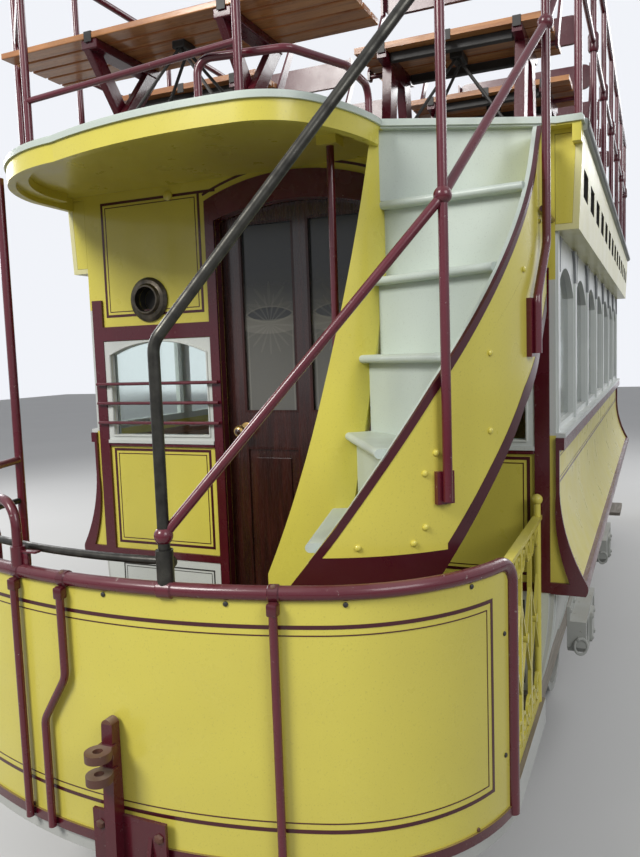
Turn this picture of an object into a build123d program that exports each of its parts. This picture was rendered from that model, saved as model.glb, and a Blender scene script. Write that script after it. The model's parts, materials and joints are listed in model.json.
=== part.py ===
from build123d import *
import os
from math import acos, asin, atan2, cos, degrees, radians, sin

# Open-top double-deck horse tramcar. Millimetres, X along the car, Z up from the floor it stands on.
# The A end is at +X. The B end is the A end turned half a turn about Z.
# The stair stands on the +Y side of the A end and the entrance is on its -Y side.
# Right is the +Y side, as seen by someone facing the A end.

# Running gear
TREAD_R = 375
FLANGE_R = 400
FLANGE_T = 28
TREAD_W = 90
GAUGE = 1435
WHEELBASE = 1676
AXLE_R = 44
JOURNAL_R = 36
AXLE_Z = FLANGE_R
AXLE_XS = (-WHEELBASE / 2, WHEELBASE / 2)
JOURNAL_END = 948
SPOKES = 7
SHOE_Y = 766
SHOE_GAP = 7

# Axle guards and springs
SOLEBAR_OUT = 900
GUARD_T = 14
GUARD_OUT = 988
GUARD_HALF_L = 290
GUARD_TOP = 560
GUARD_RIM_TOP = 490
BOX_OUT = 1000
SPRING_DX = (-190, 190)
SPRING_Z0 = 356
SPRING_Z1 = 470
SPRING_R = 34
POCKET_HALF = 50
POCKET_CORNER = 26

# Underframe
SOLEBAR_Y = 862
BEAM_HALF = 38
FRAME_HALF_L = 2160
FRAME_LOW = 470
FRAME_TOP = 600
CROSS_XS = (-2122, -1350, 0, 1350, 2122)
BEARER_LOW = 400
BEARER_YS = (-330, 0, 330)
BEARER_START = 1320
BEARER_END = 3230

# Saloon body
BODY_HALF_L = 2200
BODY_HALF_W = 975
FLOOR_TOP = 640
FLOOR_T = 40
INNER_Y = 930
SKIRT_Y = 1056
SKIRT_LOW = 965
SKIRT_TOP = 1012
SILL_Z = 1515
MOULDING_T = 24
WAIST_ZS = (1466, 1508)
BULKHEAD_T = 40
END_WINDOW_Y = 635
END_WINDOW_W = 480
END_WINDOW_Z0 = 1500
END_WINDOW_SPRING = 1845
END_WINDOW_RISE = 50
GUARD_ZS = (1553, 1637, 1720)
GUARD_POST_YS = (-930, -350)
LAMP_Y = -660
LAMP_Z = 2070
LAMP_HOLE_R = 52
VENT_Z = (2320, 2410)
BENCH_HALF_L = 2080
ARCADE_TOP = 2200
WINDOWS = 7
WINDOW_PITCH = 617
PILLAR = 72
WINDOW_Z0 = 1545
WINDOW_SPRING = 2010
WINDOW_RISE = 95
GLASS_T = 6
CEILING_SIDE_Z = 2440
CEILING_RISE = 62

# Framing laid on the outside of each bulkhead
FRAME_T = 12
PANEL_T = 8
FRAME_HALF = 370
FRAME_SPRING = 2440
FRAME_RISE = 76
CORNER_POST_YS = (905, 955)
CORNER_POST_ZS = (965, 2080)
FRAME_RAIL_ZS = ((965, 995), (1905, 1965))
SURROUND_ZS = (1478, 1903)

# Upper deck
DECK_TOP = 2550
DECK_T = 40
DECK_HALF_W = 1085
CANOPY_T = 26
CANOPY_HALF_W = 1062
FASCIA_LOW = 2470
FASCIA_TOP = 2530
FASCIA_T = 28
FASCIA_END_X = 2484
STEP_W = 45
STEP_T = 34
RIM_TOP = 2552
RIM_OUT = 8
LANDING_IN = (2512, 478)
LANDING_OUT = (2250, 985)

# Platform and dash, the plan is a front arc between two tighter corner arcs
PLATFORM_Z = 580
PLATFORM_T = 30
SILL_LOW = 490
FRONT_X = 3364
FRONT_R = 1725
FRONT_HALF = 550
CORNER_R = 576
DASH_T = 6
DASH_LOW = 540
RAIL_Z = 1250
RAIL_R = 19
DASH_END_X = 2850
POST_BEND = 60
RAIL_INSET = DASH_T / 2
STAY_R = 11
STAYS = ((-11.2, 0), (-5.0, 90), (15.0, 0))
GATE_Y = 915
ENTRANCE_POLE = (2740, -900)
ENTRANCE_POLE_R = 16
NEWEL = (2500, 300)
GRAB_TURN = -11.2
GRAB_R = 14
HAND_BAR_Z = 1310
HAND_BAR_R = 11
HAND_BAR_INSET = 42
HAND_BAR_END = -87

# Stair, seven treads winding round a newel post
STAIR_X = 2460
STAIR_Y = 288
STAIR_IN = 180
STAIR_OUT = 640
TOP_ANGLE = 100
STEP_ANGLE = 17.2
TREADS = 7
RISE = (DECK_TOP - PLATFORM_Z) / (TREADS + 1)
TREAD_T = 26
RISER_T = 18
NOSING = 24
STRING_T = 26
STRING_ANGLES = (-25, -8, 10, 28, 44, 60, 76, 90)
STRAIGHT_XS = (2360, 2264)
STRING_DROP = 45
STRING_DEPTH = 550
INNER_FOOT_Y = 80
POST_OUT = 690
LOW_POST_ANGLE = 46
HIGH_POST_ANGLE = 91
HIGH_PLATE_ANGLE = 80
LOW_POST_Z = 2780
HIGH_POST_Z = 3290
TOP_RAIL_R = 15
BALL_R = 24
BODY_STAY_Z = 2235

# Door, one leaf that slides behind the bulkhead
DOORWAY_HALF = 330
DOORWAY_SPRING = 2360
DOORWAY_RISE = 50
DOOR_HALF = 350
DOOR_SPRING = 2368
DOOR_RISE = 52
DOOR_T = 34
DOOR_GAP = 8
DOOR_LIGHTS = ((-245, -20), (52, 280))
DOOR_LIGHT_ZS = (1600, 2340)
DOOR_PANEL_ZS = (800, 1440)
KNOB_Y = -250
KNOB_Z = 1520

# Deck furniture
RAIL_TOP_Z = 3450
RAIL_MID_Z = 3060
RAIL_LOW_Z = 2690
POST_R = 13
SIDE_RAIL_Y = 1040
SIDE_POSTS = 7
SIDE_POST_PITCH = 700
SIDE_RAIL_END = SIDE_POST_PITCH * (SIDE_POSTS - 1) / 2 + 20
SEAT_ROWS = 6
SEAT_PITCH = 705
AISLE_HALF = 215
SEAT_W = 720
SEAT_H = 430
SEAT_D = 390
SLATS = 5
SLAT_GAP = 12
ARM_T = 10

# Coupling
EYE_R = 13
EYE_OUT_R = 34
EYE_T = 22
EYE_ZS = (770, 830)
COUPLING_X = FRONT_X + 10
COUPLING_HALF = 17

FIT = 0.3


def block(x0, x1, y0, y1, z0, z1):
    """A box between two corners."""
    return Pos((x0 + x1) / 2, (y0 + y1) / 2, (z0 + z1) / 2) * Box(x1 - x0, y1 - y0, z1 - z0)


def polygon(points):
    """A closed flat face in the XY plane."""
    return make_face(Polyline(*points, close=True))


def prism_x(face, x0, x1):
    """A (y, z) face run along X."""
    return extrude(Plane.YZ.offset(x0) * face, x1 - x0)


def prism_y(face, y0, y1):
    """A (x, z) face run along Y."""
    return extrude(Plane.XZ.offset(-y1) * face, y1 - y0)


def prism_z(face, z0, z1):
    """A (x, y) face run up Z."""
    return extrude(Pos(0, 0, z0) * face, z1 - z0)


def rod(start, end, radius):
    """A straight round bar."""
    a, b = Vector(*start), Vector(*end)
    return extrude(Plane(origin=a, z_dir=b - a) * Circle(radius), (b - a).length)


def ball(point, radius):
    """A ball."""
    return Pos(*point) * Sphere(radius)


def joined(shapes):
    """The union of a list of shapes."""
    result = shapes[0]
    for shape in shapes[1:]:
        result += shape
    return result


def pipe(edges, radius):
    """A round bar along lines and arcs that run into each other."""
    runs = []
    for edge in edges:
        start = Plane(origin=edge @ 0, z_dir=edge % 0) * Circle(radius)
        if edge.geom_type == GeomType.LINE:
            runs.append(extrude(start, edge.length))
        else:
            centre = edge.arc_center
            axis = Axis(centre, (edge @ 0 - centre).cross(edge % 0))
            runs.append(revolve(start, axis=axis, revolution_arc=degrees(edge.length / edge.radius)))
    return joined(runs)


def tube(points, bends, radius):
    """A round bar bent at each inner point."""
    return pipe(FilletPolyline(*points, radius=bends).edges(), radius)


def window_shape(width, z0, spring, rise):
    """A window outline with a low arched head, in local (x, z)."""
    half = width / 2
    edges = [Polyline((-half, spring), (-half, z0), (half, z0), (half, spring)),
             ThreePointArc((half, spring), (0, spring + rise), (-half, spring))]
    return make_face(edges)


def at_b(shape):
    """The same piece at the B end."""
    return Rot(0, 0, 180) * shape


def other_side(shape):
    """The same piece on the other side of the car."""
    return mirror(shape, about=Plane.XZ)


def solids_of(shapes):
    """One compound of every solid in a list of shapes."""
    return Compound([solid for shape in shapes for solid in shape.solids()])


def both_ends(piece):
    """The A end's piece and its B end twin as one set."""
    return solids_of([piece, at_b(piece)])


def both_sides(piece):
    """The +Y side's piece and its -Y twin as one set."""
    return solids_of([piece, other_side(piece)])


def save(shape, name):
    """Writes one piece."""
    export_step(shape, f"parts/{name}.step")


# Plan of the platform

CORNER_TURN = degrees(asin(FRONT_HALF / FRONT_R))
CORNER_X = FRONT_X - FRONT_R + (FRONT_R - CORNER_R) * cos(radians(CORNER_TURN))
CORNER_Y = (FRONT_R - CORNER_R) * sin(radians(CORNER_TURN))
DASH_TURN = degrees(acos((DASH_END_X - CORNER_X) / CORNER_R))


def plan_point(turn, inset=0, z=0):
    """A point of the platform's plan whose normal is turned so many degrees from +X."""
    side = 1 if turn >= 0 else -1
    if abs(turn) <= CORNER_TURN:
        cx, cy, r = FRONT_X - FRONT_R, 0, FRONT_R
    else:
        cx, cy, r = CORNER_X, side * CORNER_Y, CORNER_R
    return (cx + (r - inset) * cos(radians(turn)), cy + (r - inset) * sin(radians(turn)), z)


def plan_arcs(low, high, inset=0, z=0):
    """The arcs of the plan between two turns."""
    marks = [low] + [mark for mark in (-CORNER_TURN, CORNER_TURN) if low < mark < high] + [high]
    arcs = []
    for start, end in zip(marks[:-1], marks[1:]):
        points = [plan_point(turn, inset, z) for turn in (start, (start + end) / 2, end)]
        arcs.append(ThreePointArc(*points))
    return arcs


def plan_face(inset, back_x):
    """The platform's plan, closed across the back."""
    left, right = plan_point(-90, inset), plan_point(90, inset)
    sides = [Line((back_x, left[1]), left[:2]), Line(right[:2], (back_x, right[1]))]
    back = Line((back_x, right[1]), (back_x, left[1]))
    return make_face([sides[0], *plan_arcs(-90, 90, inset), sides[1], back])


def plan_band(end, outer, inner):
    """A band of the plan between two insets."""
    outside, inside = plan_arcs(-end, end, outer), plan_arcs(-end, end, inner)
    ends = [Line(plan_point(s * end, outer)[:2], plan_point(s * end, inner)[:2]) for s in (-1, 1)]
    return make_face([*outside, *inside, *ends])


# Underframe

def underframe():
    """Two solebars, headstocks and cross bearers, with the platform bearers under them."""
    beams = []
    for y in (-SOLEBAR_Y, SOLEBAR_Y):
        beams.append(block(-FRAME_HALF_L, FRAME_HALF_L, y - BEAM_HALF, y + BEAM_HALF, FRAME_LOW, FRAME_TOP))
    span = SOLEBAR_Y - BEAM_HALF
    for x in CROSS_XS:
        beams.append(block(x - BEAM_HALF, x + BEAM_HALF, -span, span, FRAME_LOW, FRAME_TOP))
    for x0, x1 in ((BEARER_START, BEARER_END), (-BEARER_END, -BEARER_START)):
        for y in BEARER_YS:
            beams.append(block(x0, x1, y - BEAM_HALF, y + BEAM_HALF, BEARER_LOW, FRAME_LOW))
    return joined(beams)


def saloon_floor():
    """The floor boards, cut away over the wheels."""
    half = BODY_HALF_L - BULKHEAD_T
    floor = block(-half, half, -870, 870, FLOOR_TOP - FLOOR_T, FLOOR_TOP)
    for x in AXLE_XS:
        for y in (-745, 745):
            floor -= block(x - 440, x + 440, y - 85, y + 85, FLOOR_TOP - 60, FLOOR_TOP + 10)
    return floor


def wheel(side):
    """A spoked wheel with tread and inner flange, its outer face away from the car's middle."""
    inner_face = TREAD_W + FLANGE_T
    rim = [(330, 0), (TREAD_R - 6, 0), (TREAD_R, TREAD_W - 6), (FLANGE_R - 6, TREAD_W + 4),
           (FLANGE_R, TREAD_W + 14), (FLANGE_R - 8, inner_face), (330, inner_face)]
    hub = [(AXLE_R, -8), (78, -8), (96, 40), (96, 96), (78, 128), (AXLE_R, 128)]
    body = joined([revolve(polygon(points), axis=Axis.Y) for points in (rim, hub)])
    spoke = loft([Pos(0, 50, 88) * Rectangle(92, 44), Pos(0, 50, 336) * Rectangle(66, 34)], ruled=True)
    for i in range(SPOKES):
        body += Rot(0, 360 / SPOKES * i, 0) * spoke
    turned = body if side < 0 else at_b(body)
    return Pos(0, side * (GAUGE / 2 + TREAD_W), 0) * turned


def axle():
    """The axle with wheel seats and journals."""
    seat_end = GAUGE / 2 + TREAD_W + 10
    outline = [(0, -JOURNAL_END), (JOURNAL_R, -JOURNAL_END), (JOURNAL_R, -seat_end - 10),
               (AXLE_R, -seat_end), (AXLE_R, seat_end), (JOURNAL_R, seat_end + 10),
               (JOURNAL_R, JOURNAL_END), (0, JOURNAL_END)]
    return revolve(polygon(outline), axis=Axis.Y)


def axle_guard():
    """A pedestal casting with its axle box and two spring pockets, at x = 0 on the +Y side."""
    half = GUARD_HALF_L
    outline = polygon([(-half, GUARD_TOP), (-half, 362), (-half + 44, 326), (-120, 300),
                       (120, 300), (half - 44, 326), (half, 362), (half, GUARD_TOP)])
    casting = prism_y(outline, SOLEBAR_OUT, GUARD_OUT)
    casting -= block(-half, half, SOLEBAR_OUT + GUARD_T, GUARD_OUT, GUARD_RIM_TOP, GUARD_TOP)
    box = block(-76, 76, SOLEBAR_OUT - 14, BOX_OUT, AXLE_Z - 86, AXLE_Z + 66)
    casting += fillet(box.edges().filter_by(Axis.Y), 22)
    for dx in SPRING_DX:
        x0, x1 = dx - POCKET_HALF, dx + POCKET_HALF
        pocket = block(x0, x1, SOLEBAR_OUT + GUARD_T, GUARD_OUT, SPRING_Z0, SPRING_Z1)
        casting -= fillet(pocket.edges().filter_by(Axis.Y), POCKET_CORNER)
    return casting - rod((0, SOLEBAR_OUT - 20, AXLE_Z), (0, JOURNAL_END + 4, AXLE_Z), JOURNAL_R + 0.5)


def axle_guards():
    """All four pedestals."""
    guard = axle_guard()
    return both_sides(solids_of([Pos(x, 0, 0) * guard for x in AXLE_XS]))


def springs():
    """Coil springs in their pockets, as plain turned bodies."""
    small = SPRING_R - 10
    outline = [(0, SPRING_Z0), (small, SPRING_Z0), (SPRING_R, SPRING_Z0 + 10), (SPRING_R, SPRING_Z1 - 10),
               (small, SPRING_Z1), (0, SPRING_Z1)]
    spring = revolve(Plane.XZ * polygon(outline), axis=Axis.Z)
    y = SOLEBAR_OUT + GUARD_T + SPRING_R + 4
    return both_sides(solids_of([Pos(x + dx, y, 0) * spring for x in AXLE_XS for dx in SPRING_DX]))


def brake_gear():
    """The A end's brake beam with two shoes behind the wheels, hung from the bearers."""
    wheel_x = WHEELBASE / 2
    beam_x = wheel_x - TREAD_R - 62
    gear = block(beam_x - 20, beam_x + 20, -770, 770, AXLE_Z - 30, AXLE_Z + 30)
    for y in (-SHOE_Y, SHOE_Y):
        shoe = block(beam_x - 40, beam_x + 62, y - 36, y + 36, AXLE_Z - 110, AXLE_Z + 110)
        gear += shoe - Pos(wheel_x, y, AXLE_Z) * Rot(90, 0, 0) * Cylinder(TREAD_R + SHOE_GAP, 100)
    leg = polygon([(beam_x - 8, AXLE_Z), (beam_x + 8, AXLE_Z), (beam_x + 8, FRAME_LOW - 16),
                   (CROSS_XS[3], FRAME_LOW - 16), (CROSS_XS[3], FRAME_LOW), (beam_x - 8, FRAME_LOW)])
    for y in (-600, 600):
        gear += prism_y(leg, y - 22, y + 22)
    return gear


# Platforms

def platform():
    """The platform floor on its curved sill."""
    outer = plan_face(DASH_T + 1, BODY_HALF_L)
    floor = prism_z(outer, PLATFORM_Z - PLATFORM_T, PLATFORM_Z)
    sill = prism_z(outer - plan_face(70, BODY_HALF_L - 10), SILL_LOW, PLATFORM_Z)
    under = PLATFORM_Z - PLATFORM_T
    for y in (BEARER_YS[0], BEARER_YS[2]):
        floor += block(BODY_HALF_L, BEARER_END, y - BEAM_HALF, y + BEAM_HALF, FRAME_LOW, under)
    return floor + sill - dash_tube(RAIL_R + FIT)


def entry_step():
    """A wooden tread on two iron hangers under the platform's entrance."""
    tread = block(2280, 2740, -1010, -820, 300, 328)
    tread = fillet(tread.edges().filter_by(Axis.Z), 20)
    for x in (2320, 2700):
        tread += block(x - 25, x + 25, -900, -888, 328, SILL_LOW)
        tread += block(x - 25, x + 25, -900, -860, SILL_LOW - 12, SILL_LOW)
    return tread


def dash_tube(radius):
    """A tube along the top of the dash, bent down into a post at each end."""
    end = DASH_TURN - degrees(POST_BEND / CORNER_R)
    half_bend = radians(45)
    posts = []
    for side in (-1, 1):
        start = Vector(*plan_point(side * end, RAIL_INSET, RAIL_Z))
        turn = radians(side * end)
        along = Vector(-sin(turn) * side, cos(turn) * side, 0)
        down = Vector(0, 0, -POST_BEND)
        middle = start + along * (POST_BEND * sin(half_bend)) + down * (1 - cos(half_bend))
        low = start + along * POST_BEND + down
        posts.append((start, middle, low, Vector(low.X, low.Y, DASH_LOW - 6)))
    left, right = posts
    edges = [Line(left[3], left[2]), ThreePointArc(left[2], left[1], left[0])]
    edges += plan_arcs(-end, end, RAIL_INSET, RAIL_Z)
    edges += [ThreePointArc(right[0], right[1], right[2]), Line(right[2], right[3])]
    return pipe(edges, radius)


def dash():
    """The curved sheet round the platform with its bottom stiffener."""
    end = DASH_TURN - degrees((RAIL_R + 1) / CORNER_R)
    sheet = prism_z(plan_band(end, 0, DASH_T), DASH_LOW, RAIL_Z - RAIL_R + 8) - dash_tube(RAIL_R + FIT)
    foot = prism_z(plan_band(end, -6, 0), DASH_LOW - 6, DASH_LOW + 22)
    return sheet.solids().sort_by(SortBy.VOLUME)[-1] + foot


def dash_rail():
    """The dash's top rail and end posts, with the grab tube that rises from it to the entrance pole."""
    rail = dash_tube(RAIL_R)
    foot = plan_point(GRAB_TURN, RAIL_INSET)[:2]
    rail += rod((*foot, RAIL_Z), (*foot, RAIL_Z + 68), GRAB_R + 6)
    pole_x, pole_y = ENTRANCE_POLE
    points = [(*foot, RAIL_Z), (*foot, 1440), plan_point(-24, 20, 1446), plan_point(-44, 34, 1452),
              plan_point(-66, HAND_BAR_INSET, 1458), (pole_x, pole_y, 1464)]
    rail += tube(points, 70, GRAB_R)
    pole = rod((pole_x, pole_y, PLATFORM_Z), (pole_x, pole_y, DECK_TOP), ENTRANCE_POLE_R + FIT)
    return (rail - pole).solids().sort_by(SortBy.VOLUME)[-1]


def dash_stay(turn, crank):
    """A round stay down the outside of the dash, cranked sideways by so many millimetres."""
    out = -STAY_R - 7
    top = plan_point(turn, out, RAIL_Z - RAIL_R + 2)
    if not crank:
        return rod(top, plan_point(turn, out, DASH_LOW), STAY_R)
    low = plan_point(turn - degrees(crank / FRONT_R), out)
    points = [top, (top[0], top[1], 985), (low[0], low[1], 850), (low[0], low[1], DASH_LOW)]
    return tube(points, 60, STAY_R)


def dash_stays():
    """The three stays of the A end's dash."""
    return solids_of([dash_stay(turn, crank) for turn, crank in STAYS])


def coupling():
    """An upright bar on the end of the platform frame with two eyes for a draw pin."""
    x0, half = COUPLING_X, COUPLING_HALF
    eye_x = x0 + 34 + EYE_OUT_R
    outline = polygon([(x0, 430), (x0 + 44, 430), (x0 + 38, 700), (x0 + 30, 888), (x0, 888)])
    bar = prism_y(outline, -half, half)
    bar += rod((x0, 0, 888), (x0 + 30, 0, 888), half)
    bar += block(BEARER_END, x0 + 6, -60, 60, 430, SILL_LOW - 4)
    bar += block(x0, x0 + 10, -80, 150, 430, 640)
    bar += prism_y(polygon([(x0 + 5, 470), (x0 + 40, 470), (x0 + 5, 620)]), 96, 108)
    for z in EYE_ZS:
        z0, z1 = z - EYE_T / 2, z + EYE_T / 2
        bar += rod((eye_x, 0, z0), (eye_x, 0, z1), EYE_OUT_R)
        bar += block(x0 + 20, eye_x, -22, 22, z0, z1)
        bar -= rod((eye_x, 0, z0 - 2), (eye_x, 0, z1 + 2), EYE_R)
    return bar


def scroll():
    """A flat iron scroll of three half turns in local (x, z), its outer end at (46, 0)."""
    turns = ((46, 0, 1), (34, -12, -1), (22, 0, 1))
    halves = []
    for radius, x, up in turns:
        ring = Circle(radius + 5) - Circle(radius - 5)
        half_plane = Pos(0, up * 50, 0) * Rectangle(200, 100)
        halves.append(Pos(x, 0, 0) * (ring & half_plane))
    return joined(halves)


def gate():
    """The fixed iron panel of scrolls between the body corner and the dash."""
    y0, y1 = GATE_Y - 6, GATE_Y + 6
    x0, x1 = BODY_HALF_L + FRAME_T, DASH_END_X - 34
    z0, z1 = PLATFORM_Z, RAIL_Z - 10
    bar, bays = 26, 3
    pitch = (x1 - x0 - bar) / bays
    panel = block(x0, x1, y0 - 8, y1 + 8, z1 - 14, z1) + block(x0, x1, y0, y1, z0, z0 + bar)
    for i in range(bays + 1):
        x = x0 + pitch * i
        panel += block(x, x + bar, y0, y1, z0, z1)
    mid = (z0 + z1) / 2
    for i in range(bays):
        cx = x0 + pitch * (i + 0.5) + bar / 2
        for z, up in ((z1 - 62, 1), (z0 + 78, -1)):
            for side in (-1, 1):
                turned = scroll() if side < 0 else mirror(scroll(), about=Plane.YZ)
                face = turned if up > 0 else mirror(turned, about=Plane.XZ)
                panel += prism_y(Pos(cx + side * 48, z, 0) * face, y0 + 1, y1 - 1)
        for side in (-1, 1):
            reach = side * 150
            strip = [(cx - pitch / 2, mid - reach - 9), (cx + pitch / 2, mid + reach - 9),
                     (cx + pitch / 2, mid + reach + 9), (cx - pitch / 2, mid - reach + 9)]
            panel += prism_y(polygon(strip), y0 + 1, y1 - 1)
        panel += rod((cx, y0 - 4, mid), (cx, y1 + 4, mid), 16)
    post_x = x0 + 20
    panel += rod((post_x, GATE_Y, z0), (post_x, GATE_Y, z1 + 44), 12)
    return panel + ball((post_x, GATE_Y, z1 + 58), 19)


# Saloon

def rocker_panel():
    """The curved rocker panel under the +Y side."""
    edges = [
        ThreePointArc((905, 600), (950, 775), (966, SKIRT_LOW)),
        Line((966, SKIRT_LOW), (932, SKIRT_LOW)),
        ThreePointArc((932, SKIRT_LOW), (914, 790), (872, 600)),
        Line((872, 600), (905, 600)),
    ]
    return prism_x(make_face(edges), -BODY_HALF_L, BODY_HALF_L)


def side_panel():
    """The +Y side's waist panel, flared out into a skirt over the rocker."""
    edges = [
        Polyline((BODY_HALF_W, 1320), (BODY_HALF_W, SILL_Z), (INNER_Y, SILL_Z), (INNER_Y, SKIRT_LOW),
                 (SKIRT_Y, SKIRT_LOW), (SKIRT_Y, SKIRT_TOP)),
        ThreePointArc((SKIRT_Y, SKIRT_TOP), (1003, 1140), (BODY_HALF_W, 1320)),
    ]
    return prism_x(make_face(edges), -BODY_HALF_L, BODY_HALF_L)


def side_mouldings():
    """The +Y side's waist and skirt mouldings, joined at both ends by a plate over the panel's end."""
    waist_low, waist_top = WAIST_ZS
    low, top = SKIRT_LOW - 3, SKIRT_TOP
    out = SKIRT_Y + MOULDING_T
    flat = out - 8
    skirt = [
        Polyline((SKIRT_Y, top), (SKIRT_Y, low), (flat, low)),
        ThreePointArc((flat, low), (out, (low + top) / 2), (flat, top)),
        Line((flat, top), (SKIRT_Y, top)),
    ]
    length = BODY_HALF_L + FRAME_T
    moulding = prism_x(make_face(skirt), -length, length)
    moulding += block(-length, length, BODY_HALF_W, BODY_HALF_W + MOULDING_T + 4, waist_low, waist_top)
    inner, outer, post = BODY_HALF_W, BODY_HALF_W + 12, CORNER_POST_YS[1]
    plate = [
        Polyline((inner, 1320), (inner, waist_low), (outer, waist_low), (outer, 1320)),
        ThreePointArc((outer, 1320), (1016, 1146), (flat, top)),
        Polyline((flat, top), (flat, low), (post, low), (post, 1002), (1020, 1002)),
        ThreePointArc((1020, 1002), (982, 1140), (inner, 1320)),
    ]
    face = make_face(plate)
    return moulding + prism_x(face, BODY_HALF_L, length) + prism_x(face, -length, -BODY_HALF_L)


def side_windows():
    """The +Y side's arcade of window pillars with their pilasters and sill ledge."""
    wall = block(-BODY_HALF_L, BODY_HALF_L, INNER_Y, BODY_HALF_W, SILL_Z, DECK_TOP - DECK_T)
    wall += block(-BODY_HALF_L, BODY_HALF_L, BODY_HALF_W, BODY_HALF_W + 31, WAIST_ZS[1], SILL_Z + 8)
    for i in range(WINDOWS + 1):
        x = (i - WINDOWS / 2) * WINDOW_PITCH
        wall += block(x - 26, x + 26, BODY_HALF_W, BODY_HALF_W + 8, SILL_Z + 8, ARCADE_TOP)
    opening = window_shape(WINDOW_PITCH - PILLAR, WINDOW_Z0, WINDOW_SPRING, WINDOW_RISE)
    for i in range(WINDOWS):
        x = (i - (WINDOWS - 1) / 2) * WINDOW_PITCH
        wall -= prism_y(Pos(x, 0) * opening, INNER_Y - 10, BODY_HALF_W + 30)
    return wall


def letterboard():
    """The board over the +Y side's windows with its slanted vents."""
    top = DECK_TOP - DECK_T
    outline = [(BODY_HALF_W, ARCADE_TOP), (1050, ARCADE_TOP), (1064, top), (1042, top),
               (1030, ARCADE_TOP + 20), (BODY_HALF_W, ARCADE_TOP + 20)]
    board = prism_x(polygon(outline), -BODY_HALF_L, BODY_HALF_L)
    z0, z1 = VENT_Z
    for i in range(WINDOWS * 2):
        x = (i - (WINDOWS * 2 - 1) / 2) * WINDOW_PITCH / 2
        vent = polygon([(x - 110, z0), (x + 80, z0), (x + 110, z1), (x - 80, z1)])
        board -= prism_y(vent, 1020, 1080)
    return board


def end_window():
    """The outline of a bulkhead window."""
    return window_shape(END_WINDOW_W, END_WINDOW_Z0, END_WINDOW_SPRING, END_WINDOW_RISE)


def saloon_glass():
    """Every fixed pane of the saloon."""
    pane = window_shape(WINDOW_PITCH - PILLAR, WINDOW_Z0, WINDOW_SPRING, WINDOW_RISE)
    y = INNER_Y + 20 - GLASS_T / 2
    side_panes = [prism_y(Pos((i - (WINDOWS - 1) / 2) * WINDOW_PITCH, 0) * pane, y, y + GLASS_T)
                  for i in range(WINDOWS)]
    x = BODY_HALF_L - 26
    end_panes = [prism_x(Pos(y, 0) * end_window(), x, x + GLASS_T) for y in (-END_WINDOW_Y, END_WINDOW_Y)]
    return solids_of([both_sides(solids_of(side_panes)), both_ends(solids_of(end_panes))])


def bulkhead():
    """The end wall with its doorway, two windows and the lamp hole."""
    x0, x1 = BODY_HALF_L - BULKHEAD_T, BODY_HALF_L
    wall = block(x0, x1, -INNER_Y, INNER_Y, FRAME_TOP, DECK_TOP - DECK_T)
    wall -= prism_x(window_shape(2 * DOORWAY_HALF, FLOOR_TOP, DOORWAY_SPRING, DOORWAY_RISE), x0, x1)
    for y in (-END_WINDOW_Y, END_WINDOW_Y):
        wall -= prism_x(Pos(y, 0) * end_window(), x0, x1)
    wall -= rod((x0, LAMP_Y, LAMP_Z), (x1, LAMP_Y, LAMP_Z), LAMP_HOLE_R)
    rocker = rocker_panel()
    return (wall - rocker - other_side(rocker)).solids().sort_by(SortBy.VOLUME)[-1]


def bulkhead_frame():
    """The door surround, corner posts and rails laid on the outside of a bulkhead."""
    x0, x1 = BODY_HALF_L, BODY_HALF_L + FRAME_T
    arch = window_shape(2 * FRAME_HALF, PLATFORM_Z, FRAME_SPRING, FRAME_RISE)
    doorway = window_shape(2 * DOORWAY_HALF, PLATFORM_Z, DOORWAY_SPRING, DOORWAY_RISE)
    frame = prism_x(arch - doorway, x0, x1)
    post_in, post_out = CORNER_POST_YS
    side = block(x0, x1, post_in, post_out, *CORNER_POST_ZS)
    for z0, z1 in FRAME_RAIL_ZS:
        side += block(x0, x1, FRAME_HALF, post_in, z0, z1)
    return frame + side + other_side(side)


def end_white_panels():
    """The white window surrounds and the lower panels on the outside of a bulkhead."""
    x0, x1 = BODY_HALF_L, BODY_HALF_L + PANEL_T
    y0, y1 = FRAME_HALF + 2, CORNER_POST_YS[0]
    z0, z1 = SURROUND_ZS
    surround = block(x0, x1, y0, y1, z0, z1) - prism_x(Pos(END_WINDOW_Y, 0) * end_window(), x0, x1)
    surround += block(x0, x1 + 8, y0, y1, z0 - 14, z0)
    low = [
        Polyline((898, 600), (y0, 600), (y0, SKIRT_LOW), (950, SKIRT_LOW)),
        ThreePointArc((950, SKIRT_LOW), (937, 780), (898, 600)),
    ]
    return both_sides(solids_of([surround, prism_x(make_face(low), x0, x1)]))


def lamp_bell():
    """The turned bell ring round the lamp hole."""
    outline = [(LAMP_HOLE_R, 0), (90, 0), (92, 8), (80, 18), (66, 22), (58, 34), (LAMP_HOLE_R, 34)]
    ring = revolve(Plane.XZ * polygon(outline), axis=Axis.Z)
    return Pos(BODY_HALF_L, LAMP_Y, LAMP_Z) * Rot(0, 90, 0) * ring


def guard_bars():
    """Three bars across the window beside the entrance, on short studs."""
    x = BODY_HALF_L + FRAME_T + 12
    low, high = GUARD_POST_YS
    bars = []
    for z in GUARD_ZS:
        bar = rod((x, low - 14, z), (x, high + 14, z), 7)
        for y in GUARD_POST_YS:
            bar += rod((x - 12, y, z), (x, y, z), 6)
        bars.append(bar)
    return solids_of(bars)


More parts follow.
